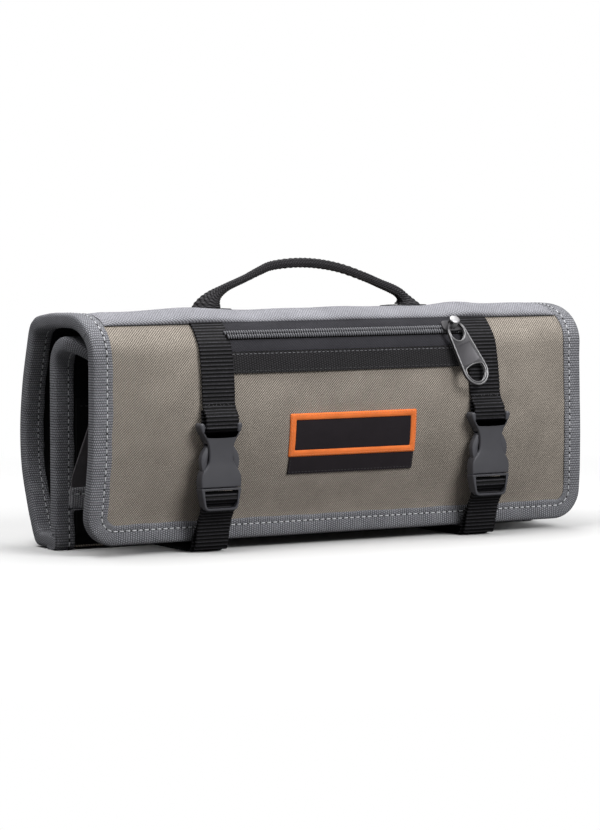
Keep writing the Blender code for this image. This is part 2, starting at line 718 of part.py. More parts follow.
def leaf_outline():
    """The inner leaf's rear face, up from the base strip, over the curl and down its front."""
    rear = LEAF_FRONT_DEPTH + SHEET_T
    centre = pair(rear - CURL_R, CURL_HEIGHT)
    foot = BASE_HEIGHT + SHEET_T + TAPE_T + 3 * GAP
    rise = [pair(rear, foot).lerp(pair(rear, CURL_HEIGHT), k / 3) for k in range(3)]
    curl = arc(centre, CURL_R, 0, 180, 12)
    fall = [pair(rear - 2 * CURL_R + 1 * MM, CURL_END_HEIGHT)]
    return Outline(rise + curl + fall, len(rise) + 6)


LEAF = leaf_outline()


def leaf_point(x, run, out):
    """A point on or over the inner leaf."""
    return world(x, *LEAF.at(run, out))


def build_leaf():
    """The standing inner panel with its tapes and its flat tool pocket."""
    rows = LEAF.stations(LEAF.runs[0], -GAP / 2)
    bounds = (("lining", 0.0, LINING_T, "black_cloth"), ("board", LINING_T + GAP, BOARD_T, "foam"),
              ("cloth", LINING_T + BOARD_T + 2 * GAP, CLOTH_T, "black_cloth"))
    columns = straight_columns(LENGTH / 2 - EDGE_IN)
    for part, start, thickness, finish in bounds:
        slab(f"leaf_{part}", leaf_point, rows, columns, -start - thickness, -start, finish)
    for side, word in ((-1, "left"), (1, "right")):
        end_tape(f"leaf_edge_tape_{word}", leaf_point, rows, LENGTH / 2, side)
    face = LEAF_FRONT_DEPTH - GAP
    low = LEAF.points[0].y
    path = [pair(face - POCKET_SHEET_T / 2, low), pair(face - POCKET_SHEET_T / 2, low + POCKET_SHEET_H)]
    half = LENGTH / 2 - TAPE_W - GAP
    ribbon("leaf_pocket_sheet", -half, half, path, POCKET_SHEET_T, "black_cloth")


def build_curl():
    """The leaf's free end beyond the curl, and the thin cover that hangs from it."""
    half = LENGTH / 2 - CURL_INSET
    last = LEAF.runs[-1] - EDGE_IN
    rows = LEAF.stations(GAP / 2, last)
    bounds = (("lining", 0.0, LINING_T, "black_cloth"), ("board", LINING_T + GAP, BOARD_T, "foam"),
              ("cloth", LINING_T + BOARD_T + 2 * GAP, CLOTH_T, "black_cloth"))
    for part, start, thickness, finish in bounds:
        slab(f"curl_{part}", leaf_point, rows, straight_columns(half - EDGE_IN), -start - thickness, -start,
             finish)
    side_rows = LEAF.stations(GAP / 2, LEAF.runs[-1] - TAPE_W - GAP)
    for side, word in ((-1, "left"), (1, "right")):
        end_tape(f"curl_edge_tape_{word}", leaf_point, side_rows, half, side)
    end = LEAF.runs[-1]
    rings = [[leaf_point(x, end - inward, out) for inward, out in tape_section(SHEET_T)]
             for x in (-half, half)]
    section_sweep("curl_hem_tape", rings, "grey_tape")
    build_cover()


def build_cover():
    """Thin cloth cover hanging from the curl's rear face, with a taped lower edge."""
    top = LEAF.at(LEAF.runs[-1], -SHEET_T - 2 * GAP - TAPE_T - COVER_T / 2)
    foot = pair(COVER_FOOT_DEPTH, COVER_FOOT_HEIGHT)
    head = top + Vector((0, 8 * MM))
    way = (foot - top).normalized()
    half = LENGTH / 2 - COVER_INSET
    ribbon("cover_cloth", -half, half, [head, top, foot - way * (TAPE_T + GAP)], COVER_T, "charcoal_cloth")
    side = Vector((way.y, -way.x))
    reach = COVER_T / 2 + GAP + TAPE_T
    inner = COVER_T / 2 + GAP
    section = ((0, reach), (TAPE_W, reach), (TAPE_W, inner), (TAPE_T, inner), (TAPE_T, -inner),
               (TAPE_W, -inner), (TAPE_W, -reach), (0, -reach))
    rings = [[world(x, *(foot - way * inward + side * out)) for inward, out in section]
             for x in (-half, half)]
    section_sweep("cover_hem_tape", rings, "grey_tape")


def build_socket_pockets():
    """A sewn row of open pockets on the lining of the back."""
    lining = min(SHELL.at(run, -SHEET_T).x for run in SHELL.stations(SHELL.runs[0], -GAP)
                 if POCKET_LOW - 8 * MM < SHELL.at(run, 0.0).y < POCKET_HIGH + 8 * MM
                 and SHELL.at(run, 0.0).x > REAR_TOP_DEPTH)
    rear = lining - GAP
    front = rear - POCKET_DEPTH - 2 * POCKET_WALL
    half = POCKET_ROW_LENGTH / 2
    row = box("socket_pockets", (-half, half), (front, rear), (POCKET_LOW, POCKET_HIGH))
    pitch = (POCKET_ROW_LENGTH - POCKET_WALL) / POCKET_COUNT
    for k in range(POCKET_COUNT):
        start = -half + POCKET_WALL + k * pitch
        hollow = box("hollow", (start, start + pitch - POCKET_WALL),
                     (front + POCKET_WALL, rear - POCKET_WALL), (POCKET_LOW + POCKET_WALL, POCKET_HIGH + MM))
        combine(row, hollow, "DIFFERENCE")


def box(name, x_limits, depth_limits, height_limits):
    """A box of black cloth given in the roll's own terms."""
    corners = [world(x, d, h) for h in height_limits for d in depth_limits for x in x_limits]
    faces = [(0, 1, 3, 2), (4, 6, 7, 5), (0, 4, 5, 1), (2, 3, 7, 6), (0, 2, 6, 4), (1, 5, 7, 3)]
    return add_object(name, corners, faces, "black_cloth")


def slider_frame():
    """Place on the zip, its way down the flap and its way out."""
    middle = COIL_START + COIL_W / 2
    low = flap_point(SLIDER_X, middle - 2 * MM, 0.0)
    high = flap_point(SLIDER_X, middle + 2 * MM, 0.0)
    down = (high - low).normalized()
    out = Vector((1, 0, 0)).cross(down).normalized()
    if out.y > 0:
        out = -out
    return flap_point(SLIDER_X, middle, 0.0), down, out


def local_matrix(origin, across, down):
    """A frame whose first axis is across, second is down and third stands out."""
    out = down.cross(across)
    if out.y > 0:
        out = -out
    rows = [[across[i], down[i], out[i], origin[i]] for i in range(3)]
    return Matrix(rows + [[0, 0, 0, 1]])


SLIDER_LOW = 3 * GAP + ZIP_TAPE_T + COIL_T
SLIDER_BODY_T = 1.9 * MM
BRIDGE_H = 6.2 * MM
PULL_BAR_R = 0.95 * MM


def build_slider():
    """Zip slider: a shaped plate over the coil with a bridge for the pull."""
    origin, down, out = slider_frame()
    half, wide = SLIDER_L / 2, SLIDER_W / 2
    low = SLIDER_LOW
    high = low + SLIDER_BODY_T
    plan = [(-half, -wide + 1.5 * MM), (-half + 3 * MM, -wide), (half - 2 * MM, -wide),
            (half, -wide + 2 * MM), (half, wide - 2 * MM), (half - 2 * MM, wide),
            (-half + 3 * MM, wide), (-half, wide - 1.5 * MM)]
    rings = [[Vector((u, v, low)) for u, v in plan],
             [Vector((u, v, low + 0.7 * SLIDER_BODY_T)) for u, v in plan],
             [Vector((0.86 * u, 0.85 * v, high)) for u, v in plan]]
    slider = section_sweep("zip_slider", rings, "zip_metal")
    leg, inner, cap = 3.7 * MM, 2.6 * MM, 1.5 * MM
    top = high + BRIDGE_H
    arch = [(-leg, high - 0.5 * MM), (-leg, top - 1 * MM), (-leg + 1.2 * MM, top), (leg - 1.2 * MM, top),
            (leg, top - 1 * MM), (leg, high - 0.5 * MM), (inner, high - 0.5 * MM), (inner, top - cap),
            (-inner, top - cap), (-inner, high - 0.5 * MM)]
    bridge = section_sweep("bridge", [[Vector((u, v, w)) for v, w in arch] for u in (-1.5 * MM, 1.5 * MM)],
                           "zip_metal")
    combine(slider, bridge, "UNION")
    slider.matrix_world = local_matrix(origin, Vector((1, 0, 0)), down)


def pull_frame():
    """Where the pull's bar lies under the bridge, and the pull's own frame as it hangs."""
    origin, down, out = slider_frame()
    bar = origin + out * (SLIDER_LOW + SLIDER_BODY_T + BRIDGE_H / 2 - 0.2 * MM)
    way = down * math.cos(PULL_TILT) + Vector((1, 0, 0)) * math.sin(PULL_TILT)
    across = Vector((1, 0, 0)) * math.cos(PULL_TILT) - down * math.sin(PULL_TILT)
    lean = way * math.cos(PULL_SAG) - out * math.sin(PULL_SAG)
    return bar, across, lean


def build_pull():
    """Zip pull: a tapered plate with a loop round the bridge and an open ring at its end."""
    bar, across, lean = pull_frame()
    top, end = PULL_W_TOP / 2, PULL_W_END / 2
    length = PULL_L - PULL_BAR_R
    outline = arc(pair(0, length - end), end, 0, 180, 10)
    outline += arc(pair(0, top - PULL_BAR_R), top, 180, 360, 8)
    half = PULL_T / 2
    rings = [[Vector((p.x, p.y, w)) for p in outline] for w in (-half, half)]
    pull = section_sweep("zip_pull", rings, "zip_metal")
    eye = arc(pair(0, top - PULL_BAR_R), top - PULL_RIM, 180, 360, 8)
    eye += arc(pair(0, PULL_EYE_L - (top - PULL_RIM)), top - PULL_RIM, 0, 180, 8)
    ring_top = length - PULL_RING_L
    inside = end - 1.25 * PULL_RIM
    ring = arc(pair(0, length - end), inside, 0, 180, 8)
    ring += [pair(-inside, ring_top + PULL_RIM), pair(-inside / 2, ring_top), pair(inside / 2, ring_top),
             pair(inside, ring_top + PULL_RIM)]
    for hole in (eye, ring):
        cutter = section_sweep("hole", [[Vector((p.x, p.y, w)) for p in hole] for w in (-3 * MM, 3 * MM)],
                               "zip_metal")
        combine(pull, cutter, "DIFFERENCE")
    pull.matrix_world = local_matrix(bar, across, lean)


def build_handle():
    """Webbing handle, flat at its feet and folded to a cord between them, with its sewn tabs."""
    centre = run_at_depth(HANDLE_DEPTH)
    rows = SHELL.stations(centre - ANCHOR_L / 2, centre + ANCHOR_L / 2)
    for side, word in ((-1, "left"), (1, "right")):
        x = side * HANDLE_X
        slab(f"handle_tab_{word}", shell_point, rows, lambda run, x=x: (x - ANCHOR_L / 2, x + ANCHOR_L / 2),
             GAP, GAP + WEB_T, "black_web")
    depth, height = SHELL.at(centre, 2 * GAP + WEB_T + HANDLE_T / 2)
    foot, neck, thin = HANDLE_FOOT_W / 2, HANDLE_NECK_W / 2, HANDLE_T / 2
    route = spline([pair(x * HANDLE_X, z * HANDLE_RISE) for x, z in
                    ((-0.865, 0.33), (-0.627, 0.639), (-0.362, 0.944), (-0.13, 1.0), (0.1, 0.965),
                     (0.33, 0.847), (0.566, 0.628), (0.848, 0.33))], 2)
    feet = ((0, -0.73, 90, 0.955, 0.53), (0, 0.2, 90, 1.0, 0.93), (0.53, 1.73, 70, 0.82, 1.0),
            (3.0, 3.07, 42, 0.6, 1.2))
    rings = []
    for x, z, angle, reach, deep in feet:
        way = Vector((math.cos(math.radians(angle)), math.sin(math.radians(angle))))
        rings.append(handle_ring(pair(x * thin - HANDLE_X, z * thin), way, reach * foot, deep * thin))
    count = len(route)
    for k, point in enumerate(route):
        before, after = route[max(0, k - 1)], route[min(count - 1, k + 1)]
        share = min(k, count - 1 - k)
        reach = (1.37, 1.1, 1.0)[min(share, 2)] * neck
        deep = (1.5, 1.8, 1.8)[min(share, 2)] * thin
        rings.append(handle_ring(point, (after - before).normalized(), reach, deep))
    for x, z, angle, reach, deep in reversed(feet):
        way = Vector((math.cos(math.radians(angle)), -math.sin(math.radians(angle))))
        rings.append(handle_ring(pair(HANDLE_X - x * thin, z * thin), way, reach * foot, deep * thin))
    handle = section_sweep("handle", rings, "black_web")
    handle.data.shade_smooth()
    handle.data.set_sharp_from_angle(angle=math.radians(50))
    handle.location = world(0.0, depth, height)


def handle_ring(point, way, reach, deep):
    """Eight points round the handle at one place, square to its way."""
    side = Vector((way.y, -way.x))
    ring = []
    for k in range(8):
        angle = math.radians(45 * k + 22.5)
        place = point + side * reach * math.cos(angle) * 1.08
        ring.append(Vector((place.x, deep * math.sin(angle) * 1.08, place.y)))
    return ring


def run_at_depth(depth):
    """The run on the top of the shell where the outer face has this depth."""
    for i in range(len(SHELL.runs) - 2, -1, -1):
        a, b = SHELL.points[i], SHELL.points[i + 1]
        if a.x >= depth >= b.x and a.y > TOP_HEIGHT - CORNER_HEIGHT:
            return SHELL.runs[i] + (a.x - depth) / (a.x - b.x) * (SHELL.runs[i + 1] - SHELL.runs[i])
    return SHELL.runs[0]


def flap_hinge():
    """A point of the line that the flap turns about."""
    return world(0.0, *SHELL.at(0.0, FLAP_HINGE_OUT))


def leaf_hinge():
    """A point of the line that the inner leaf leans about."""
    return world(0.0, *LEAF.points[0]) - Vector((0, SHEET_T, 0))


def curl_hinge():
    """A point of the line that the leaf's curl opens about."""
    return world(0.0, *LEAF.at(0.0, CURL_HINGE_OUT))


def set_origins(starts, pivot):
    """Put the origins of the pieces whose names start so on their joint's line."""
    for obj in bpy.data.objects:
        if obj.name.startswith(starts) and obj.location.length == 0:
            obj.data.transform(Matrix.Translation(-pivot))
            obj.location = pivot


def build():
    """Make every piece of the roll."""
    clear_scene()
    build_shell()
    build_flap()
    build_zip()
    build_label()
    build_slider()
    build_pull()
    build_handle()
    build_leaf()
    build_curl()
    build_socket_pockets()
    for side, word in ((-1, "left"), (1, "right")):
        build_under_strap(word, side)
        build_upper_strap(word, side)
        build_lower_strap(word, side)
        build_socket(word, side)
        build_plug(word, side)
        build_prong(word, side, -1, "a")
        build_prong(word, side, 1, "b")
    set_origins(("flap_", "zip_", "label_", "upper_strap_"), flap_hinge())
    set_origins(("leaf_",), leaf_hinge())
    set_origins(("curl_", "cover_"), curl_hinge())


build()
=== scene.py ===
import math

import bmesh
import bpy
import numpy as np
from mathutils import Matrix, Vector

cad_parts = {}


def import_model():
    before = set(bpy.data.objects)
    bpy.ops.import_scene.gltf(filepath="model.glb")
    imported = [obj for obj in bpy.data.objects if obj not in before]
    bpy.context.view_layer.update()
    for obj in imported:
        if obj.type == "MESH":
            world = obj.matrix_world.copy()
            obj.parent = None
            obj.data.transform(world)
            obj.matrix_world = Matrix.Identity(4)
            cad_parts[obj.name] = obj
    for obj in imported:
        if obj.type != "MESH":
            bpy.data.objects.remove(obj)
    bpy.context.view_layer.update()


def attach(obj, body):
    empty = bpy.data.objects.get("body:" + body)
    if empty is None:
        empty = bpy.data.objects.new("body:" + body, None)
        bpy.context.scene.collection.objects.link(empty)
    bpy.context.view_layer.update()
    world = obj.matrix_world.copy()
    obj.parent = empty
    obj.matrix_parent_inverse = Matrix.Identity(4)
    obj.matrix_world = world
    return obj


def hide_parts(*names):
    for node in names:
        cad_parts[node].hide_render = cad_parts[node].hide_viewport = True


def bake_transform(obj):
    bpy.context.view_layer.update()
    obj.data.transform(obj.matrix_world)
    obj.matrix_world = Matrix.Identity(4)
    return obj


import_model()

MM = 0.001
SIDES = ((-1, "left"), (1, "right"))

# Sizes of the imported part, in millimetres
LENGTH = 396.0
HALF = LENGTH / 2
SHEET_T = 7.6
TAPE_W = 15.5
TOP = 162.0
CORNER_D, CORNER_H = 38.0, 26.0
SEAM_TURN = 41.0
BACK_D = 114.0
REAR_TOP_D, REAR_TOP_Z = 96.0, TOP - 6.0
REAR_BASE_D = 93.0
FLAP_R = 21.0
FLAP_BULGE, BULGE_LEAN = 0.0555 * TOP, 0.7
EDGE_D, EDGE_Z = 7.0, 7.0
WEB_W, WEB_T, STRAP_X = 25.0, 1.6, 109.0
STITCH_Z = 99.0
MOUTH_Z = 45.5
BUCKLE_D = -(FLAP_BULGE * 0.95 + 0.5)
BUCKLE_T, PLUG_L = 8.6, 15.7
CAD_BUCKLE_T = 11.0
WEB_BAR_UP = 40.2
LADDER_UP, LADDER_OUT = -7.0, 4.0
SHIFT = -(BUCKLE_D - CAD_BUCKLE_T + BACK_D + 1.5) / 2
COIL_START, COIL_W = 9.5, 7.5
COIL_MIDDLE = COIL_START + COIL_W / 2
ZIP_TAPE_END, FACING_START, FACING_END = 24.2, 24.5, 38.7
SLIDER_X, SLIDER_LOW, SLIDER_T, BRIDGE_H = 85.5, 4.0, 1.9, 6.2
PULL_TILT, PULL_SAG = math.radians(21.5), math.radians(23.0)
LABEL_W, LABEL_TOP, LABEL_SPLIT, LABEL_BASE = 102.0, 93.0, 63.0, 51.0
HANDLE_D, HANDLE_X = 58.0, 80.5
LEAF_D, CURL_R, CURL_Z = 58.0, 20.0, 126.0
CURL_INSET, COVER_INSET = 15.0, 7.0
COVER_D, COVER_Z = 49.0, 29.0
POCKETS, POCKET_ROW, POCKET_DEPTH, POCKET_WALL = 7, 352.0, 11.0, 1.5
POCKET_LOW, POCKET_HIGH = 0.272 * TOP, 0.642 * TOP
LEAF_POCKET_H = 0.57 * TOP
BASE_Z = 1.9
LEAF_FOOT = BASE_Z + SHEET_T + 1.2 + 0.9
FOLD = 6.0                      # half of the stretch of sheet that bends at a hinge
STITCH_IN = 10.3                # a row of stitches, in from the edge of its tape
OUT_LIFT, IN_LIFT = 1.0, -8.6   # stitches on the outer and the inner face of a tape
BOARD_IN = 1.5                  # a board or lining, in from the edge of its sheet
SEWN = 0.3                      # clearance under what is sewn on


# Curves of the end view

def catmull(points, steps):
    """Smooth curve through points of any dimension."""
    p = np.array(points, float)
    ends = np.vstack([2 * p[0] - p[1], p, 2 * p[-1] - p[-2]])
    t = (np.arange(steps) / steps)[:, None]
    out = []
    for i in range(1, len(ends) - 2):
        a, b, c, d = ends[i - 1:i + 3]
        out.append(0.5 * (2 * b + (c - a) * t + (2 * a - 5 * b + 4 * c - d) * t ** 2
                          + (3 * b - a - 3 * c + d) * t ** 3))
    return np.vstack(out + [p[-1:]])


def smooth(points, steps=6):
    return [tuple(p) for p in catmull(points, steps)]


def arc(centre, radius, start, end, steps):
    """Points of an arc, with angles in degrees."""
    angle = np.radians(np.linspace(start, end, steps + 1))
    return [(centre[0] + radius * math.cos(a), centre[1] + radius * math.sin(a)) for a in angle]


def run_along(points):
    """Length along a path at each of its points."""
    return np.concatenate([[0], np.cumsum(np.linalg.norm(np.diff(points, axis=0), axis=1))])


def runs_between(start, end, step=2.0):
    return np.linspace(start, end, max(3, int((end - start) / step) + 1))


class Curve:
    """A curve of the end view that gives places at a run along it and a distance out."""

    def __init__(self, points, zero=0.0, step=0.5):
        p = np.array(points, float)
        run = run_along(p)
        self.run = np.linspace(0, run[-1], max(4, int(run[-1] / step)) + 1)
        self.p = np.stack([np.interp(self.run, run, p[:, k]) for k in (0, 1)], 1)
        pad = np.pad(np.gradient(self.p, axis=0), ((2, 2), (0, 0)), "edge")
        way = np.stack([np.convolve(pad[:, k], np.ones(5) / 5, "valid") for k in (0, 1)], 1)
        way /= np.linalg.norm(way, axis=1)[:, None]
        self.n = np.stack([way[:, 1], -way[:, 0]], 1)
        self.run -= zero
        self.start, self.end = self.run[0], self.run[-1]

    def at(self, run, out=0.0):
        """Depth and height arrays."""
        run = np.asarray(run, float)
        px, py = (np.interp(run, self.run, self.p[:, k]) for k in (0, 1))
        nx, ny = (np.interp(run, self.run, self.n[:, k]) for k in (0, 1))
        return px + nx * out, py + ny * out


def corner_point(turn):
    a = math.radians(turn)
    return CORNER_D * (1 - math.sin(a)), TOP - CORNER_H * (1 - math.cos(a))


def shell_curve():
    """The outer face of base, back, top and flap. Its run is 0 at the seam."""
    base = [(LEAF_D, BASE_Z)] + arc((REAR_BASE_D - 8, BASE_Z + 8), 8, -90, -25, 6)
    back = [(REAR_BASE_D + 1.5, BASE_Z + 8), (BACK_D - 11, 0.173 * TOP), (BACK_D - 2, 0.333 * TOP),
            (BACK_D, 0.506 * TOP), (BACK_D - 4, 0.691 * TOP), (BACK_D - 12, 0.864 * TOP),
            (REAR_TOP_D + 2, REAR_TOP_Z - 5)]
    top = [(REAR_TOP_D - 3, REAR_TOP_Z), (REAR_TOP_D - 11, TOP - 2.9), (CORNER_D + 24, TOP - 0.4)]
    points = base + smooth(back + top + [corner_point(0), corner_point(10)], 8)[:-8]
    points += [corner_point(t) for t in np.linspace(0, SEAM_TURN, 12)][1:]
    zero = run_along(points)[-1]
    points += [corner_point(t) for t in np.linspace(SEAM_TURN, 90, 16)][1:]
    points += smooth([(0, 0.62 * TOP), (0.04 * EDGE_D, 0.5 * TOP), (0.13 * EDGE_D, 0.4 * TOP),
                      (0.37 * EDGE_D, 0.278 * TOP), (0.66 * EDGE_D, 0.185 * TOP), (EDGE_D, EDGE_Z)], 8)
    return Curve(points, zero)


def leaf_curve():
    """The rear face of the inner leaf and its curl. Its run is 0 half way round the curl's first turn."""
    rear = LEAF_D + SHEET_T
    points = [(rear, LEAF_FOOT), (rear, CURL_Z)] + arc((rear - CURL_R, CURL_Z), CURL_R, 0, 180, 30)[1:]
    points += [(rear - 2 * CURL_R + 1, CURL_Z - CURL_R)]
    return Curve(points, (CURL_Z - LEAF_FOOT) + CURL_R * math.pi / 2)


SHELL = shell_curve()
LEAF = leaf_curve()
FLAP_END = SHELL.end
SHELL_RUNS = runs_between(SHELL.start, -FOLD)
# how far the flap's right and left edges stand out from the straight, at these runs
FLARE_RUNS = (0, FLAP_END - 120, FLAP_END - 90, FLAP_END - 56, FLAP_END - 27, FLAP_END)
FLARE_RIGHT, FLARE_LEFT = (0, -0.7, 0.0, 1.3, 2.9, 3.4), (0, -0.8, -0.8, -0.2, 1.2, 1.8)
BULGE_START, BULGE_END = COIL_START + 2.5, FLAP_END - TAPE_W - 0.6
BULGE_EDGE = HALF - TAPE_W - 1.5


def run_at(height):
    """Run on the flap where its outer face has this height."""
    runs = np.linspace(0, FLAP_END, 800)
    return float(np.interp(-height, -SHELL.at(runs)[1], runs))


def bulge(x, run):
    """How far the flap's filled middle stands forward."""
    reach = 1 - np.minimum(1, np.abs(x) / BULGE_EDGE) ** 4
    share = np.clip((run - BULGE_START) / (BULGE_END - BULGE_START), 0, 1)
    return FLAP_BULGE * reach * np.sin(np.pi * share) * (1 + BULGE_LEAN * (0.5 - share))


def place(x, depth, height):
    """Points of the object in metres, from arrays in millimetres."""
    x, depth, height = np.broadcast_arrays(np.asarray(x, float), depth, height)
    return np.stack([x, depth + SHIFT, height], -1) * MM


def on_flap(x, run, out):
    depth, height = SHELL.at(run, out)
    right, left = (np.interp(run, FLARE_RUNS, flare) for flare in (FLARE_RIGHT, FLARE_LEFT))
    wide = np.where(np.asarray(x) > 0, right, left) / HALF + 1
    return place(x * wide, depth - bulge(x, run), height)


def on_curve(curve):
    """A surface that runs straight along the object over a curve of the end view."""
    return lambda x, run, out: place(x, *curve.at(run, out))


on_shell, on_leaf = on_curve(SHELL), on_curve(LEAF)


def soft_noise(x, r, scale, seed):
    """Slow smooth bumps from a few sine waves, from about -1 to 1."""
    rnd = np.random.RandomState(seed)
    total = 0.0
    for _ in range(7):
        kx, kr = rnd.normal(0, 1 / scale, 2)
        total = total + np.sin(kx * x + kr * r + rnd.uniform(0, 6.28))
    return total / 3.2


# Meshes

def new_object(name, verts, faces, finish, uvs=None, soft=True, sharp=None):
    """A mesh piece. uvs is one pair per vertex, in millimetres along and across the cloth."""
    mesh = bpy.data.meshes.new(name)
    mesh.from_pydata(np.asarray(verts, float).reshape(-1, 3).tolist(), [], faces)
    if uvs is not None:
        layer = mesh.uv_layers.new(name="Cloth")
        index = np.empty(len(mesh.loops), np.int32)
        mesh.loops.foreach_get("vertex_index", index)
        layer.data.foreach_set("uv", np.asarray(uvs, np.float32).reshape(-1, 2)[index].ravel())
    work = bmesh.new()
    work.from_mesh(mesh)
    bmesh.ops.recalc_face_normals(work, faces=work.faces)
    work.to_mesh(mesh)
    work.free()
    if soft:
        mesh.shade_smooth()
        if sharp:
            mesh.set_sharp_from_angle(angle=math.radians(sharp))
    mesh.materials.append(finish)
    obj = bpy.data.objects.new(name, mesh)
    bpy.context.scene.collection.objects.link(obj)
    return obj


def tube_faces(rings, size, closed=False):
    """Faces between rings of size points, with two end caps unless the last ring meets the first."""
    faces = []
    for j in range(rings if closed else rings - 1):
        k = (j + 1) % rings
        for i in range(size):
            h = (i + 1) % size
            faces.append((j * size + i, j * size + h, k * size + h, k * size + i))
    if not closed:
        faces += [tuple(range(size)), tuple(range((rings - 1) * size, rings * size))]
    return faces


def panel(name, surface, runs, half, layer, finish, wrinkle=None, columns=90):
    """A closed bent plate. half(run) is half its width, and layer its two faces, out from the surface."""
    runs = np.asarray(runs, float)
    x = np.array([half(r) for r in runs])[:, None] * np.linspace(-1, 1, columns)
    r = np.repeat(runs[:, None], columns, 1)
    low, high = layer
    top = surface(x, r, high + (wrinkle(x, r) if wrinkle else 0))
    verts = np.concatenate([top.reshape(-1, 3), surface(x, r, low).reshape(-1, 3)])
    uv = np.stack([x, r], -1).reshape(-1, 2)
    rows = len(runs)
    shift = rows * columns
    faces = []
    for j in range(rows - 1):
        for i in range(columns - 1):
            a = j * columns + i
            faces.append((a, a + 1, a + 1 + columns, a + columns))
            faces.append((a + shift, a + columns + shift, a + 1 + columns + shift, a + 1 + shift))
    rim = [(a, a + 1) for i in range(columns - 1) for a in (i, (rows - 1) * columns + i)]
    rim += [(a, a + columns) for j in range(rows - 1) for a in (j * columns, (j + 1) * columns - 1)]
    faces += [(a, b, b + shift, a + shift) for a, b in rim]
    return new_object(name, verts, faces, finish, np.concatenate([uv, uv + (0, 3.0)]), sharp=50)


# tape folded over an edge, as pairs: inwards from the edge, and out of the sheet
TAPE_SECTION = [(15.3, 0.05), (15.5, 0.7), (15.1, 1.3), (13.8, 1.55), (12.4, 1.45), (11.4, 1.15),
                (10.9, 1.1), (10.4, 1.2), (9.4, 1.6), (7.5, 1.8), (5.0, 1.85), (3.0, 1.7), (1.5, 1.1),
                (0.5, 0.1), (0.05, -1.4), (0, -3.8), (0.05, -6.2), (0.5, -7.7), (1.5, -8.7), (3.0, -9.15),
                (6, -9.25), (9.5, -9.2), (10.9, -9.0), (12.4, -9.2), (14.6, -9.1), (15.5, -8.4),
                (15.3, -7.7), (13, -7.6), (3, -7.4), (1.4, -6.4), (1.4, -1.2), (3, -0.2), (13, 0.0)]
TAPE_TURN = -3.8


def tape_section(thick=SHEET_T, narrow=0.94, puff=0.75):
    """The tape's section for a sheet of this thickness."""
    pairs = []
    for a, n in TAPE_SECTION:
        if n > 0:
            n *= puff
        elif n < -SHEET_T:
            n = (n + SHEET_T) * puff - SHEET_T
        pairs.append((a * narrow, n if n > TAPE_TURN else n + SHEET_T - thick))
    return pairs


def edge_tape(name, surface, path, finish, section=None, seed=0.0):
    """Tape along an edge. path rows are x, run, and the way inwards in x and in run."""
    section = np.array(section or tape_section())
    path = np.array(path, float)
    along = run_along(path[:, :2])
    wave = 0.2 * np.sin(along * 0.21 + seed) + 0.16 * np.sin(along * 0.083 + 2 * seed)
    wave *= np.clip(np.minimum(along, along[-1] - along) / 8, 0, 1)
    wave = wave[:, None]
    a = section[:, 0] + wave * (section[:, 0] > 9)
    n = section[:, 1] + wave * 0.5 * (section[:, 1] > 0.5)
    verts = surface(path[:, 0, None] + a * path[:, 2, None], path[:, 1, None] + a * path[:, 3, None], n)
    uvs = np.stack(np.meshgrid(along, run_along(section), indexing="ij"), -1)
    return new_object(name, verts, tube_faces(len(path), len(section)), finish, uvs, sharp=60)


def stitches(name, points, normals, ways, finish, length, radius, gap):
    """Thread capsules, half sunk in the cloth, as one mesh. A gap adds a near-black capsule after each,
    painted shade for its needle hole.
    """
    verts, faces, holes = [], [], []
    profile = ((-0.5, 0.25), (-0.42, 0.8), (-0.15, 1.0), (0.15, 1.0), (0.42, 0.8), (0.5, 0.25))
    size, sink = 6, 0.55

    def capsule(p, n, w, long, thick, drop, into):
        s = np.cross(w, n)
        base = len(verts)
        for along, wide in profile:
            bow = (1 - (2 * along) ** 2) * thick * sink - thick * 0.25 - drop
            for k in range(size):
                a = 2 * math.pi * k / size
                verts.append(p + MM * (w * along * long + n * (bow + math.sin(a) * wide * thick * 0.75)
                                       + s * math.cos(a) * wide * thick))
        into += [tuple(base + i for i in f) for f in tube_faces(len(profile), size)]

    for p, n, w in zip(points, normals, ways):
        w = w / np.linalg.norm(w)
        n = n - w * n.dot(w)
        n = n / np.linalg.norm(n)
        capsule(p, n, w, length, radius, 0.0, faces)
        # painted shade: a near-black capsule in the gap after each stitch, for its needle hole
        if gap:
            hole = p + w * MM * (length + gap) / 2
            capsule(hole, n, w, gap * 1.1, radius * 1.15, radius * 0.3, holes)
    obj = new_object(name, verts, faces + holes, finish)
    if gap:
        obj.data.materials.append(M["hole"])
        for face in obj.data.polygons[len(faces):]:
            face.material_index = 1
    return obj


def stitch_row(name, surface, path, finish, pitch=4.7, length=3.3, radius=0.42, lift=1.3):
    """Stitches on a surface along a path of x, run pairs. The grey rows get painted shade for their needle
    holes.
    """
    path = np.array(path, float)
    along = run_along(path)
    count = int(along[-1] / pitch)
    places = (np.arange(count) + 0.5) * along[-1] / count
    at = lambda shift: [np.interp(places + shift, along, path[:, k]) for k in (0, 1)]
    x, r = at(0)
    x = x + np.random.RandomState(3).uniform(-0.12, 0.12, count)
    p = surface(x, r, lift)
    gap = along[-1] / count - length if finish == M["grey_thread"] else 0.0
    way = surface(*at(0.5), lift) - surface(*at(-0.5), lift)
    return stitches(name, p, surface(x, r, lift + 1.0) - p, way, finish, length, radius, gap)


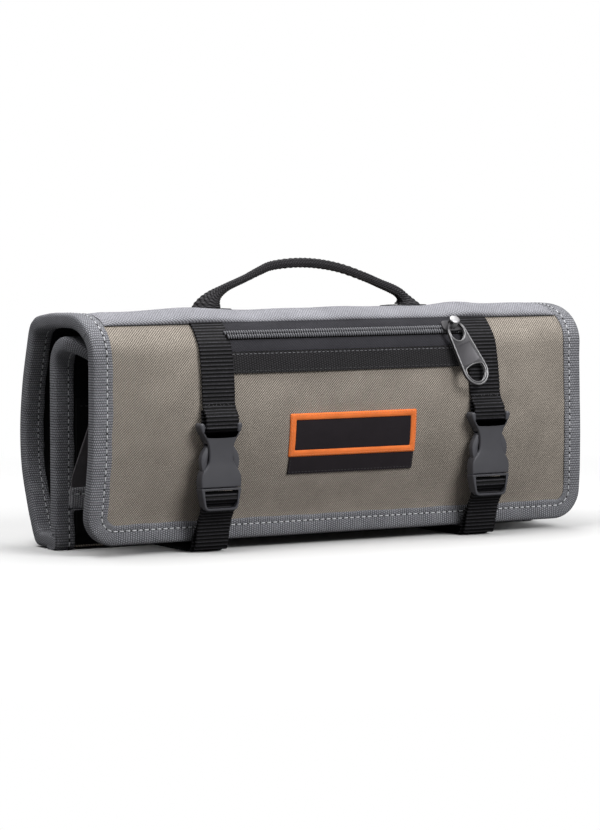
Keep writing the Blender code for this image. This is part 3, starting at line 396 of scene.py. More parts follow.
def webbing(name, path, x, phase=0.0, slant=(0, 0)):
    """Ribbed webbing along a path of the end view, as (depth, height) pairs."""
    pitch, rib = 2.6, 0.24
    curve = Curve(path, step=pitch / 8)
    runs = curve.run
    middle = x + np.interp(runs, (runs[0], runs[-1]), slant)
    across = np.array([-1, -0.97, -0.9, -0.8, -0.4, 0, 0.4, 0.8, 0.9, 0.97, 1.0])
    swell = np.array([0.5, 0.85, 1.0, 0.88, 0.95, 1.0, 0.95, 0.88, 1.0, 0.85, 0.5])
    sway = 0.5 * np.sin(runs * 0.11 + phase * 5)
    verts, uvs = [], []
    for side in (1, -1):
        for i in range(len(across))[::side]:
            wave = np.abs(np.sin(np.pi * (runs / pitch + phase + 0.1 * across[i] * sway)))
            out = side * (WEB_T / 2 * swell[i] + rib * (wave ** 0.7 - 0.6))
            bead = 0.3 * (wave - 0.5) * (abs(across[i]) > 0.85) * np.sign(across[i])
            reach = across[i] * WEB_W / 2
            verts.append(place(middle + reach + bead, *curve.at(runs, out)))
            uvs.append(np.stack([np.full_like(runs, reach + 40 * side), runs + phase * pitch], -1))
    faces = tube_faces(len(runs), len(verts))
    return new_object(name, np.stack(verts, 1), faces, M["web"], np.stack(uvs, 1), sharp=70)


def add_bevel(obj, width, segments=3, angle=40):
    step = obj.modifiers.new("edge", "BEVEL")
    step.width = width * MM
    step.segments = segments
    step.limit_method = "ANGLE"
    step.angle_limit = math.radians(angle)


def bake_shape(obj, sharp=35):
    """Apply all of a piece's modifiers."""
    bpy.context.view_layer.update()
    graph = bpy.context.evaluated_depsgraph_get()
    mesh = bpy.data.meshes.new_from_object(obj.evaluated_get(graph))
    obj.modifiers.clear()
    obj.data = mesh
    mesh.shade_smooth()
    mesh.set_sharp_from_angle(angle=math.radians(sharp))
    return obj


def boolean(obj, other, operation="DIFFERENCE"):
    step = obj.modifiers.new("cut", "BOOLEAN")
    step.operation = operation
    step.solver = "EXACT"
    step.object = other
    bake_shape(obj)
    bpy.data.objects.remove(other, do_unlink=True)


def box_mesh(name, xs, ds, zs):
    """A thin sewn strip of lining with rounded edges."""
    verts = [place(x, d, z) for z in zs for d in ds for x in xs]
    faces = [(0, 1, 3, 2), (4, 6, 7, 5), (0, 4, 5, 1), (2, 3, 7, 6), (0, 2, 6, 4), (1, 5, 7, 3)]
    uvs = [(x + d, z) for z in zs for d in ds for x in xs]
    obj = new_object(name, verts, faces, M["lining"], uvs, soft=False)
    add_bevel(obj, 0.4, 2)
    return obj


def across_up(u, v, w):
    """A buckle's own frame, with w out of the flap."""
    return u, -w, v


def across_down(u, v, w):
    """The frame of the slider and its pull, with w out of the flap."""
    return u, v, w


def prism(name, loop, low, high, to=across_up, finish="buckle"):
    """A plate between two heights. loop is pairs in millimetres, and to turns them into its frame."""
    verts = [to(u * MM, v * MM, w * MM) for w in (low, high) for u, v in loop]
    return new_object(name, verts, tube_faces(2, len(loop)), M[finish], soft=False)


def mirror_loop(half):
    return half + [(-u, v) for u, v in reversed(half)]


def rod(name, half, up, out, radius, size=16):
    """A buckle's cross bar."""
    verts = []
    for u in (-half, half):
        for k in range(size):
            a = 2 * math.pi * k / size
            verts.append((u * MM, (-out + radius * math.cos(a)) * MM, (up + radius * math.sin(a)) * MM))
    return new_object(name, verts, tube_faces(2, size), M["buckle"], sharp=40)


def soft_prism(name, loop, low, high, radius, rings=5):
    """A plate of the buckle whose front and back edges are rounded. loop is (across, up) pairs."""
    points = np.array(loop, float)
    after, before = np.roll(points, -1, 0) - points, points - np.roll(points, 1, 0)
    turned = points[:, 0] * np.roll(points[:, 1], -1) - np.roll(points[:, 0], -1) * points[:, 1]
    if turned.sum() < 0:
        after, before = -after, -before
    after /= np.linalg.norm(after, axis=1)[:, None]
    before /= np.linalg.norm(before, axis=1)[:, None]
    inward = np.stack([-(after + before)[:, 1], (after + before)[:, 0]], -1)
    inward /= np.linalg.norm(inward, axis=1)[:, None]
    layers = []
    for k in range(rings):
        turn = math.pi / 2 * k / (rings - 1)
        layers.append((radius * (1 - math.sin(turn)), low + radius * (1 - math.cos(turn))))
    layers += [(inset, high + low - out) for inset, out in reversed(layers)]
    verts = [across_up(u * MM, v * MM, out * MM) for inset, out in layers for u, v in points + inward * inset]
    return bake_shape(new_object(name, verts, tube_faces(len(layers), len(points)), M["buckle"]), 40)


# Materials

class Signal:
    """A node's output, reckoned with like a number."""

    def __init__(self, nodes, socket):
        self.nodes, self.socket = nodes, socket

    def __add__(self, other):
        return self.nodes.math("ADD", self, other)

    def __sub__(self, other):
        return self.nodes.math("SUBTRACT", self, other)

    def __mul__(self, other):
        return self.nodes.math("MULTIPLY", self, other)

    def __truediv__(self, other):
        return self.nodes.math("DIVIDE", self, other)


class Nodes:
    """Small helper for one material's node tree."""

    def __init__(self, name):
        self.mat = bpy.data.materials.new(name)
        self.mat.use_nodes = True
        self.tree = self.mat.node_tree
        self.shader = self.tree.nodes["Principled BSDF"]

    def put(self, socket, value):
        """Set a socket to a number or a colour, or link it."""
        if isinstance(value, Signal):
            self.tree.links.new(value.socket, socket)
        else:
            socket.default_value = (*value, 1.0) if isinstance(value, tuple) else value

    def add(self, kind, inputs, output=0, **values):
        """A new node's output."""
        node = self.tree.nodes.new(kind)
        for key, value in values.items():
            setattr(node, key, value)
        for key, value in inputs.items():
            self.put(node.inputs[key], value)
        return Signal(self, node.outputs[output])

    def math(self, op, a, b=0.0):
        return self.add("ShaderNodeMath", {0: a, 1: b}, operation=op)

    def uv(self):
        """The cloth's map in millimetres, and its two parts."""
        whole = self.add("ShaderNodeUVMap", {}, uv_map="Cloth")
        split = self.add("ShaderNodeSeparateXYZ", {0: whole})
        return whole, split, Signal(self, split.socket.node.outputs[1])

    def place(self):
        return self.add("ShaderNodeTexCoord", {}, "Object")

    def pointed(self):
        return self.add("ShaderNodeNewGeometry", {}, "Pointiness")

    def noise(self, vector, scale, detail=3.0, rough=0.5):
        inputs = {"Vector": vector, "Scale": scale, "Detail": detail, "Roughness": rough}
        return self.add("ShaderNodeTexNoise", inputs, "Fac")

    def wave(self, value, pitch, power=1.0):
        """Rounded ridges of this pitch, from 0 to 1."""
        ridge = self.math("ABSOLUTE", self.math("SINE", value * (math.pi / pitch)))
        return ridge if power == 1.0 else self.math("POWER", ridge, power)

    def ramp(self, value, stops):
        """Colours or greys between two places."""
        colour = self.add("ShaderNodeValToRGB", {0: value})
        for element, (at, shade) in zip(colour.socket.node.color_ramp.elements, stops):
            element.position = at
            element.color = (*(shade if isinstance(shade, tuple) else (shade,) * 3), 1.0)
        return colour

    def mix(self, share, a, b, mode="MIX"):
        return self.add("ShaderNodeMix", {0: share, 6: a, 7: b}, 2, data_type="RGBA", blend_type=mode)

    def tint(self, base, value, edge, low, high):
        """A colour times a grey that goes from low to high, as the value goes from edge to 1 - edge."""
        return self.mix(1.0, base, self.ramp(value, [(edge, low), (1 - edge, high)]), "MULTIPLY")

    def bump(self, height, distance, strength=1.0):
        return self.add("ShaderNodeBump", {"Strength": strength, "Distance": distance, "Height": height})

    def finish(self, colour, rough, normal=None, **fixed):
        self.put(self.shader.inputs["Base Color"], colour)
        self.put(self.shader.inputs["Roughness"], rough)
        if normal is not None:
            self.put(self.shader.inputs["Normal"], normal)
        for key, value in fixed.items():
            self.shader.inputs[key.replace("_", " ")].default_value = value
        return self.mat


def twill(name, dark, light, pitch=1.5, bump=0.00016, worn=0.35, slope=1.0):
    """Diagonal twill of two shades with slow colour drift and a soft fuzz."""
    n = Nodes(name)
    uv, u, v = n.uv()
    warp = n.noise(uv, 0.9, 2.0) * 0.5
    lines = n.wave(u * slope + v + warp, pitch, 0.7)
    weft = n.wave(u - v * 0.8 + warp, pitch * 0.85, 0.7)
    yarn = lines * (weft * 0.55 + 0.45)
    speck = n.noise(uv, 1.5, 2.0)
    base = n.tint(n.mix(yarn, dark, light), n.noise(uv, 0.035, 4.0, 0.6), 0.3, 0.86, 1.1)
    base = n.mix(worn, base, n.tint(base, speck, 0.35, 0.78, 1.2))
    return n.finish(base, speck * 0.15 + 0.76, n.bump(yarn + speck * 0.4, bump), Specular_IOR_Level=0.15)


def rib_tape(name, dark, light, pitch=1.75, bump=0.0004):
    """Coarse nylon tape: rows of rounded floats with dark gaps, each row half a float on."""
    n = Nodes(name)
    uv, u, v = n.uv()
    wander = n.noise(uv, 0.5, 2.0) * 0.5
    along = u + wander
    row = n.math("FLOOR", along / pitch)
    floats = n.wave(v + wander + row * (pitch * 0.42), pitch * 0.84, 0.6)
    pattern = n.wave(along, pitch, 0.6) * (floats * 0.85 + 0.15)
    drift = n.noise(uv, 0.06, 4.0, 0.6)
    base = n.tint(n.mix(pattern, dark, light), drift, 0.3, (0.84, 0.84, 0.85), 1.12)
    base = n.mix(0.6, base, n.tint(base, n.noise(uv, 1.4, 2.0), 0.35, 0.7, 1.3))
    return n.finish(base, drift * 0.12 + 0.7, n.bump(pattern, bump), Specular_IOR_Level=0.2)


def web_finish(name, dark, light, crest_highlight):
    """Nylon webbing: ribs across, each with a pale line along its top as a painted highlight, and yarns along
    it.
    """
    n = Nodes(name)
    uv, u, v = n.uv()
    yarn = n.wave(u + n.noise(uv, 1.2, 2.0) * 0.3, 1.1, 0.8)
    mixed = n.wave(v, 2.6) * (yarn * 0.4 + 0.6)
    # painted highlight: a narrow pale line along the top of each rib
    base = n.mix(n.wave(v, 2.6, 9.0) * n.noise(uv, 0.8, 2.0), n.mix(mixed, dark, light), crest_highlight)
    drift = n.noise(uv, 0.12, 4.0, 0.6)
    base = n.tint(base, drift, 0.3, 0.8, 1.2)
    return n.finish(base, drift * 0.15 + 0.5, n.bump(mixed, 0.0002), Specular_IOR_Level=0.12)


def plain_weave(name, dark, light, pitch=0.8, bump=0.0001):
    """Tabby weave: warp and weft cross at right angles."""
    n = Nodes(name)
    uv, u, v = n.uv()
    warp, weft = n.wave(u, pitch), n.wave(v, pitch)
    drift = n.noise(uv, 0.05, 4.0, 0.6)
    base = n.tint(n.mix(warp * weft, dark, light), drift, 0.3, 0.85, 1.12)
    return n.finish(base, drift * 0.1 + 0.8, n.bump(warp + weft, bump), Specular_IOR_Level=0.15)


def plastic(name, colour, light, rough_base=0.42):
    """Moulded plastic: fine spark texture, slow gloss change and paler scuffed edges."""
    n = Nodes(name)
    at = n.place()
    drift = n.noise(at, 90.0, 4.0, 0.6)
    wear = n.ramp(n.pointed(), [(0.5, 0.0), (0.58, 1.0)])
    scuffed = tuple(min(1.0, c * 2.2) for c in light)
    base = n.mix(wear * 0.35, n.mix(drift, colour, light), scuffed)
    grain = n.bump(n.noise(at, 2600.0, 3.0, 0.6), 0.00002, 0.6)
    return n.finish(base, drift * 0.16 + rough_base, grain, Specular_IOR_Level=0.5)


def metal(name, colour, rough_base):
    """Cast and polished zinc: cloudy gloss with fine scratches and darker hollows."""
    n = Nodes(name)
    at = n.place()
    cloud = n.noise(at, 300.0, 4.0, 0.6)
    hollow = n.ramp(n.pointed(), [(0.44, 0.3), (0.52, 1.0)])
    base = n.mix(1.0, n.mix(cloud, tuple(c * 0.85 for c in colour), colour), hollow, "MULTIPLY")
    scratch = n.bump(n.noise(at, 4000.0, 2.0, 0.6), 0.00001, 0.5)
    return n.finish(base, cloud * 0.2 + rough_base, scratch, Metallic=0.55, Specular_IOR_Level=0.8)


def thread(name, colour):
    """Sewing thread with a slight twist."""
    n = Nodes(name)
    twist = n.noise(n.place(), 1800.0, 2.0)
    base = n.mix(twist, tuple(c * 0.75 for c in colour), colour)
    return n.finish(base, 0.6, n.bump(twist, 0.00005), Sheen_Weight=0.1)


M = {
    "taupe": twill("taupe_twill", (0.026, 0.022, 0.018), (0.420, 0.372, 0.320), pitch=1.9, bump=0.0004),
    "tape": rib_tape("grey_tape", (0.006, 0.006, 0.008), (0.300, 0.303, 0.326)),
    "band": twill("grey_band", (0.030, 0.030, 0.036), (0.360, 0.360, 0.390), 2.3, 0.0003, slope=0.9),
    # the webbing's last colour is its painted highlight on the rib tops
    "web": web_finish("black_web", (0.0004, 0.0004, 0.0005), (0.0022, 0.002, 0.0024), (0.07, 0.068, 0.078)),
    "lining": plain_weave("black_lining", (0.001, 0.001, 0.001), (0.006, 0.006, 0.007)),
    "zip_tape": twill("zip_tape", (0.002, 0.002, 0.003), (0.044, 0.043, 0.050), 1.3, 0.0002, worn=0.4),
    "facing": rib_tape("zip_facing", (0.0005, 0.0005, 0.0006), (0.026, 0.025, 0.027), pitch=1.9),
    "coil": plastic("zip_coil", (0.055, 0.055, 0.06), (0.10, 0.10, 0.11), 0.25),
    "cord": twill("black_cord", (0.0004, 0.0004, 0.0005), (0.048, 0.046, 0.050), pitch=2.2, bump=0.0005),
    "buckle": plastic("buckle_plastic", (0.038, 0.038, 0.044), (0.052, 0.052, 0.060), 0.42),
    "metal": metal("zip_metal", (0.78, 0.77, 0.79), 0.26),
    "satin": metal("zip_satin", (0.085, 0.082, 0.089), 0.42),
    "cover": twill("charcoal_cover", (0.045, 0.042, 0.045), (0.125, 0.117, 0.125), pitch=1.2),
    "orange": plain_weave("label_orange", (0.80, 0.150, 0.028), (1.0, 0.300, 0.085), 0.7, 0.00012),
    "label": plain_weave("label_black", (0.010, 0.008, 0.010), (0.028, 0.023, 0.027), 0.55, 0.00006),
    # painted light: a lighter copy of the grey tape, for the cover's hem that hangs in shade
    "hem": rib_tape("hem_tape", (0.03, 0.03, 0.033), (0.48, 0.48, 0.51)),
    "grey_thread": thread("grey_thread", (0.62, 0.625, 0.65)),
    # painted shade: near-black for the shade inside the needle holes
    "hole": thread("needle_hole", (0.004, 0.004, 0.005)),
    "black_thread": thread("black_thread", (0.016, 0.016, 0.018)),
    "orange_thread": thread("orange_thread", (0.9, 0.24, 0.07)),
    "zip_thread": thread("zip_thread", (0.11, 0.11, 0.12)),
}


# Seats: what a piece moves with, and the nodes that it stands for, which are hidden

def settle(nodes):
    if nodes:
        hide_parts(*nodes)


def on_body(body):
    """Seats pieces that move with one body."""
    def seat(obj, slot, *nodes):
        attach(obj, body)
        settle(nodes)
    return seat


def bending():
    """Seats fabric that spans two bodies; it stays where it is built and moves with neither."""
    def seat(obj, slot, *nodes):
        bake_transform(obj)
        settle(nodes)
    return seat


def at_fold(surface):
    """Seats fabric that bends round run 0 of a surface."""
    start, end = (surface(0, run, -SHEET_T / 2) for run in (-FOLD, FOLD))
    return bending()


ON_SHELL, ON_FLAP, ON_LEAF, ON_CURL = (on_body(name) for name in ("shell", "flap", "leaf", "curl"))
# finish, padding's faces, lining's faces and slot of a sheet that shows its cloth or its lining outside
OUTER = (M["taupe"], (-6.5, 0.0), (-7.6, -6.8), "taupe_cloth")
INNER = (M["lining"], (-7.6, -1.1), (-0.8, 0.0), "black_cloth")


def full_width(run):
    return HALF - BOARD_IN


def padded_sheet(names, kind, surface, runs, seat, nodes=((), ()), half=full_width,
                 wrinkle=None, columns=90):
    """A padded panel and its lining, with their names and nodes in that order."""
    finish, pad_layer, lining_layer, slot = kind
    pad = panel(names[0], surface, runs, half, pad_layer, finish, wrinkle, columns)
    seat(pad, slot, *nodes[0])
    lining = panel(names[1], surface, runs, half, lining_layer, M["lining"])
    seat(lining, "black_cloth", *nodes[1])


def end_tapes(tape, surface, runs, seat, rows=(), node=None, seeds=(0, 0), edge=lambda run: HALF,
              section=None):
    """Tape over the left and right ends of a sheet. rows are the names, runs and lifts of its stitches."""
    for (side, word), seed in zip(SIDES, seeds):
        path = [(side * edge(r), r, -side, 0) for r in runs]
        piece = edge_tape(f"{tape}_{word}", surface, path, M["tape"], section, seed)
        seat(piece, "grey_tape", *([f"{node}_{word}"] if node else []))
        for name, row_runs, lift in rows:
            row = [(side * (edge(r) - STITCH_IN), r) for r in row_runs]
            seat(stitch_row(name.format(word), surface, row, M["grey_thread"], lift=lift), "grey_tape")


def two_rows(name, runs):
    """Stitches on both faces of a tape."""
    return [(name + "_{}_out", runs, OUT_LIFT), (name + "_{}_in", runs, IN_LIFT)]


# Shell: base, back and top

def back_wrinkle(x, r):
    return 0.35 * soft_noise(x, r, 26, 1) * (1 - (x / HALF) ** 4) * np.clip((-FOLD - r) / 10, 0, 1)


def shell_pieces():
    padded_sheet(("back_padding", "back_lining"), OUTER, on_shell, SHELL_RUNS, ON_SHELL,
                 (("shell_cloth", "shell_board"), ("shell_lining",)), wrinkle=back_wrinkle)
    seam_fold()
    end_tapes("back_edge_tape", on_shell, SHELL_RUNS, ON_SHELL, two_rows("back_stitches", SHELL_RUNS[1:-1]),
              "shell_edge_tape", seeds=(-1, 1))
    top_band()
    for side, word in SIDES:
        strap = webbing(f"under_webbing_{word}", [(15, 0.8), (86, 0.8)], side * STRAP_X)
        ON_SHELL(strap, "black_web", f"under_strap_{word}")
    pocket_row()


def seam_fold():
    """The short stretch of the sheet and its end tapes that bends between the top and the flap."""
    runs = runs_between(-FOLD, FOLD, 1.0)
    seat = at_fold(on_shell)
    padded_sheet(("seam_fold_padding", "seam_fold_lining"), OUTER, on_shell, runs, seat, columns=200)
    end_tapes("seam_fold_tape", on_shell, runs, seat, [("seam_fold_stitches_{}", runs, OUT_LIFT)])


def top_band():
    """Wide ribbed tape that rolls over the top front edge, a little loose, and higher over the straps."""
    reach = HALF - TAPE_W + 0.4
    xs = np.linspace(-reach, reach, 300)
    section = np.array([(0.9, 0.35), (1.2, 1.0), (0.9, 1.9), (0.0, 2.6), (-1.6, 3.0), (-3.5, 3.2),
                        (-6.5, 3.25), (-10, 3.2), (-16, 2.8), (-21, 2.3), (-24.5, 1.9), (-25.9, 1.4),
                        (-26.4, 0.8), (-26.3, 0.3), (-22, 0.25), (-12, 0.25)])
    lift = 0.35 * np.sin(xs * 0.045 + 1.0) + 0.2 * np.sin(xs * 0.13)
    for centre in (-STRAP_X, STRAP_X):
        lift = lift + 1.9 * np.exp(-((xs - centre) / 19) ** 2)
    ends = np.clip((reach - np.abs(xs)) / 9, 0, 1) ** 0.6
    run, out = section.T
    raised = 0.9 + (out - 0.9 + lift[:, None]) * ends[:, None]
    x, girth = np.meshgrid(xs, run_along(section), indexing="ij")
    verts = on_shell(x, run + 0 * x, np.where(out > 0.9, raised, out))
    faces = tube_faces(len(xs), len(section))
    band = new_object("top_band", verts, faces, M["band"], np.stack([x, girth], -1), sharp=60)
    ON_SHELL(band, "grey_tape", "top_edge_band")
    inner = HALF - TAPE_W - 0.5
    for name, run, lift in (("low", 1.15, 0.55), ("high", -26.4, 0.6)):
        path = [(x, run) for x in np.linspace(-inner, inner, 120)]
        ON_SHELL(stitch_row(f"band_edge_{name}", on_shell, path, M["black_thread"], 1.7, 1.75, 0.5, lift),
                 "grey_tape")


def pocket_row():
    """Row of open socket pockets, each a soft bellows on a backing strip."""
    depths, heights = SHELL.at(SHELL_RUNS, -SHEET_T)
    beside = (heights > POCKET_LOW - 8) & (heights < POCKET_HIGH + 8) & (depths > 84)
    rear = depths[beside].min() - SEWN
    front = rear - POCKET_DEPTH - 2 * POCKET_WALL
    half = POCKET_ROW / 2
    pitch = (POCKET_ROW - POCKET_WALL) / POCKETS
    tuck, cloth = 3.4, 1.3
    outer = []
    for k in range(POCKETS):
        for t in np.linspace(0, 1, 13)[:-1]:
            outer.append((-half + (k + t) * pitch, front + tuck * (1 - math.sin(math.pi * t) ** 0.35)))
    outer.append((half, front + tuck))
    ring = outer + [(x, d + cloth) for x, d in reversed(outer)]
    levels = np.linspace(POCKET_LOW, POCKET_HIGH, 16)
    verts = [place(x, d, z + 0.4 * math.sin(x * 0.35)) for z in levels for x, d in ring]
    uvs = [(x, z) for z in levels for x, d in ring]
    faces = tube_faces(len(levels), len(ring))
    fronts = new_object("pocket_fronts", verts, faces, M["lining"], uvs, sharp=60)
    ON_SHELL(fronts, "black_cloth", "socket_pockets")
    strips = [("pocket_backing", (-half, half), (rear - 1.5, rear), (POCKET_LOW, POCKET_HIGH)),
              ("pocket_floor", (-half, half), (front + 4, rear - 1.6), (POCKET_LOW, POCKET_LOW + 1.5))]
    for k in range(POCKETS + 1):
        at = min(max(-half + k * pitch, -half + 0.75), half - 0.75)
        strips.append((f"pocket_wall_{k}", (at - 0.7, at + 0.7), (front + 3.6, rear - 1.6),
                       (POCKET_LOW + 1.6, POCKET_HIGH - 0.5)))
    for strip in strips:
        ON_SHELL(box_mesh(*strip), "black_cloth")


# Flap

def flap_half(run, inset=BOARD_IN):
    """Half the flap's width, less towards its round lower corners."""
    radius = FLAP_R - inset
    over = run - (FLAP_END - FLAP_R)
    if over <= 0:
        return HALF - inset
    return HALF - inset - radius + math.sqrt(max(0.0, radius ** 2 - min(over, radius) ** 2))


def flap_edge(inset, step=2.0):
    """Path round the flap's three free edges: x, run and the way inwards."""
    radius = FLAP_R - inset
    corner = FLAP_END - FLAP_R
    path = [(-HALF + inset, r, 1, 0) for r in runs_between(FOLD, corner, step)]
    for a in np.radians(np.linspace(0, 90, 19)[1:]):
        x, r = -HALF + FLAP_R - radius * math.cos(a), corner + radius * math.sin(a)
        path.append((x, r, math.cos(a), -math.sin(a)))
    path += [(x, corner + radius, 0, -1) for x in runs_between(-HALF + FLAP_R, 0, step)[1:]]
    return path + [(-x, r, -wx, wr) for x, r, wx, wr in reversed(path[:-1])]


def flap_wrinkle(x, r):
    """Shallow pulls beside the straps, along the zip and by the side tapes."""
    lift = 0.35 * soft_noise(x, r, 22, 5)
    for centre in (-STRAP_X, STRAP_X):
        for side in (-1, 1):
            near = np.exp(-((x - centre - side * 18) / 7) ** 2)
            lift = lift + 0.28 * near * np.sin(r * 0.16 + centre * 0.1 + side)
    edge = np.clip((HALF - 18 - np.abs(x)) / 12, 0, 1)
    low = np.clip((FLAP_END - 18 - r) / 12, 0, 1) * np.clip((r - 6) / 12, 0, 1)
    return lift * edge * low


def flap_pieces():
    radius = FLAP_R - BOARD_IN
    rounds = [FLAP_END - FLAP_R + radius * math.sin(a) for a in np.radians(np.linspace(0, 90, 14)[1:])]
    runs = np.concatenate([runs_between(FOLD, FLAP_END - FLAP_R), rounds])
    padded_sheet(("flap_padding", "flap_lining_sheet"), OUTER, on_flap, runs, ON_FLAP,
                 (("flap_cloth", "flap_board", "zip_pocket_bag"), ("flap_lining",)), flap_half,
                 wrinkle=flap_wrinkle, columns=200)
    tape = edge_tape("flap_tape", on_flap, flap_edge(0), M["tape"], seed=2.0)
    ON_FLAP(tape, "grey_tape", "flap_edge_tape")
    row = [(x, r) for x, r, _, _ in flap_edge(STITCH_IN)]
    for lift, where in ((OUT_LIFT, "out"), (IN_LIFT, "in")):
        line = stitch_row(f"flap_stitches_{where}", on_flap, row, M["grey_thread"], lift=lift)
        ON_FLAP(line, "grey_tape")


# Zip

def zip_pieces():
    inner = STRAP_X - WEB_W / 2 - 0.3
    ripple = lambda x, r: 0.25 * np.sin(x * 0.05) * np.sin((r - 0.3) * 0.33)

    def strip(name, start, end, high, finish, slot, node, wrinkle=None):
        runs = runs_between(start, end, 1.0)
        ON_FLAP(panel(name, on_flap, runs, lambda r: inner, (SEWN, high), finish, wrinkle), slot, node)

    strip("zip_tape_top", 0.3, COIL_MIDDLE - 0.2, 1.2, M["zip_tape"], "black_web", "zip_tape_upper", ripple)
    strip("zip_tape_base", COIL_MIDDLE + 0.2, ZIP_TAPE_END, 1.2, M["zip_tape"], "black_web", "zip_tape_lower")
    zip_coil(inner)
    strip("zip_facing_strip", FACING_START, FACING_END, 1.6, M["facing"], "black_cloth", "zip_facing")
    rows = (("top", FACING_START + 1.3, "zip_thread"), ("low", FACING_END - 1.3, "black_thread"))
    for name, at, finish in rows:
        path = [(x, at) for x in np.linspace(-inner + 1, inner - 1, 90)]
        line = stitch_row(f"facing_stitches_{name}", on_flap, path, M[finish], 3.4, 2.3, 0.3, 1.55)
        ON_FLAP(line, "black_cloth")


def zip_coil(inner):
    """Two rows of interlocked coil turns, each a bent bead, with a black core under them as painted shade
    between the turns.
    """
    verts, faces = [], []
    pitch, size = 1.9, 8
    beads = ((-2.9, 0.55), (-2.55, 1.0), (-1.6, 1.15), (-0.7, 1.05), (0.1, 0.7))
    for row in (-1, 1):
        for k in range(int(2 * inner / pitch)):
            x0 = -inner + (k + 0.5 + 0.25 * row) * pitch + 0.3 * row
            base = len(verts)
            for v, wide in beads:
                height = 2.0 + 0.75 * math.sin(math.pi * (v + 2.9) / 3.4)
                for i in range(size):
                    a = 2 * math.pi * i / size
                    verts.append(on_flap(x0 + 0.5 * wide * math.cos(a), COIL_MIDDLE - row * v,
                                         height + 0.85 * wide * math.sin(a)))
            faces += [tuple(base + i for i in f) for f in tube_faces(len(beads), size)]
    ON_FLAP(new_object("zip_coil_rows", verts, faces, M["coil"]), "zip_black", "zip_coil")
    # painted shade: a black strip under the turns shows as the dark gaps between them
    section = ((-3.3, 1.2), (-3.0, 2.3), (0, 2.5), (3.0, 2.3), (3.3, 1.2))
    verts = [on_flap(x, COIL_MIDDLE + run, out) for x in (-inner, inner) for run, out in section]
    ON_FLAP(new_object("zip_coil_core", verts, tube_faces(2, len(section)), M["lining"]), "zip_black")


# Label: a bare field in a rim, and a bare strip below it

def rounded(half, top, base, radius):
    """Loop of a rectangle with small round corners and many points along its sides."""
    loop = []
    for x, r, start in ((half, top, -90), (half, base, 0), (-half, base, 90), (-half, top, 180)):
        centre = x - math.copysign(radius, x), r + (radius if r == top else -radius)
        loop += arc(centre, radius, start, start + 90, 4)
    full = []
    for (x0, r0), (x1, r1) in zip(loop, loop[1:] + loop[:1]):
        steps = 40 if abs(x1 - x0) > 20 else 12 if math.hypot(x1 - x0, r1 - r0) > 8 else 1
        full += [(x0 + (x1 - x0) * k / steps, r0 + (r1 - r0) * k / steps) for k in range(steps)]
    return full


def label_pieces():
    half = LABEL_W / 2
    top, split, base = (run_at(z) for z in (LABEL_TOP, LABEL_SPLIT, LABEL_BASE))
    rim = 4.6
    inset = lambda by, radius: rounded(half - by, top + by, split - by, radius)
    rings = [(inset(0, 1.0), 0.3), (inset(0, 1.0), 1.1), (inset(0.6, 1.0), 1.6), (inset(rim / 2, 0.8), 1.75),
             (inset(rim - 0.6, 0.7), 1.6), (inset(rim, 0.6), 1.1), (inset(rim, 0.6), 0.3)]
    verts = [on_flap(x, r, n) for loop, n in rings for x, r in loop]
    uvs = [(x, r) for loop, n in rings for x, r in loop]
    faces = tube_faces(len(rings), len(rings[0][0]), closed=True)
    ON_FLAP(new_object("label_border", verts, faces, M["orange"], uvs, sharp=60), "label_orange", "label_rim")
    seam = rim + 0.2
    field = ("label_face", "label_field", runs_between(top + seam, split - seam, 1.5), half - seam)
    strip = ("label_lower_strip", "label_strip", runs_between(split + 0.3, base, 1.2), half - 1.0)
    for name, node, runs, wide in (field, strip):
        plate = panel(name, on_flap, runs, lambda r: wide, (SEWN, 1.3), M["label"], columns=60)
        ON_FLAP(plate, "label_black", node)
    x, low = half - 2, base - 1.3
    edge = [(-x, split + 1.6), (-x, low), (x, low), (x, split + 1.6)]
    line = stitch_row("label_strip_stitches", on_flap, edge, M["black_thread"], 2.6, 1.9, 0.25, 1.3)
    ON_FLAP(line, "label_black")
    ring = inset(1.2, 0.8)
    ring += ring[:1]
    line = stitch_row("label_border_stitches", on_flap, ring, M["orange_thread"], 2.4, 1.7, 0.28, 1.6)
    ON_FLAP(line, "label_orange")


# Straps

STRAP_NEAR = STRAP_X - WEB_W / 2
WEB_MIDDLE = WEB_T / 2 + SEWN


def strap_face(height, out):
    """A place beside a strap, out from the flap."""
    run = run_at(height)
    return float(SHELL.at(run)[0]) - float(bulge(STRAP_NEAR, run)) - out, height


def upper_strap(side, word, slant):
    """Webbing from the seam, round the socket's bar and back up to its stitches."""
    path = []
    for run in runs_between(-3.0, run_at(STITCH_Z + 4), 3.0):
        depth, height = SHELL.at(run, WEB_MIDDLE if run > 1 else WEB_MIDDLE - 0.2)
        path.append((float(depth) - float(bulge(STRAP_NEAR, run)), float(height)))
    over = WEB_MIDDLE + WEB_T + 0.2
    bar = (BUCKLE_D - BUCKLE_T / 2, MOUTH_Z + WEB_BAR_UP)
    path += [strap_face(STITCH_Z - 1, over), (bar[0] - 1.9, bar[1] + 7.5)]
    path += arc(bar, 1.5 + 0.3 + WEB_T / 2, 150, 360, 8)
    path += [strap_face(bar[1] + 8, WEB_MIDDLE), strap_face(STITCH_Z - 1.5, WEB_MIDDLE)]
    x = side * STRAP_X
    strap = webbing(f"strap_upper_{word}", smooth(path), x, phase=0.3 * side, slant=slant)
    ON_FLAP(strap, "black_web", f"upper_strap_{word}")
    for n, (z, sunk) in enumerate(((STITCH_Z + 1.5, 0.9), (STITCH_Z - 3.2, 0.0))):
        run = run_at(z)
        lift = float(bulge(STRAP_NEAR, run)) + over + WEB_T / 2 - 0.4 - sunk
        zig = [(x + slant[1] + dx, run + (0.9 if k % 2 else -0.9))
               for k, dx in enumerate(np.linspace(-10.5, 10.5, 15))]
        line = stitch_row(f"strap_stitches_{word}_{n}", on_shell, zig, M["black_thread"], 2.9, 2.2, 0.3, lift)
        ON_FLAP(line, "black_web")


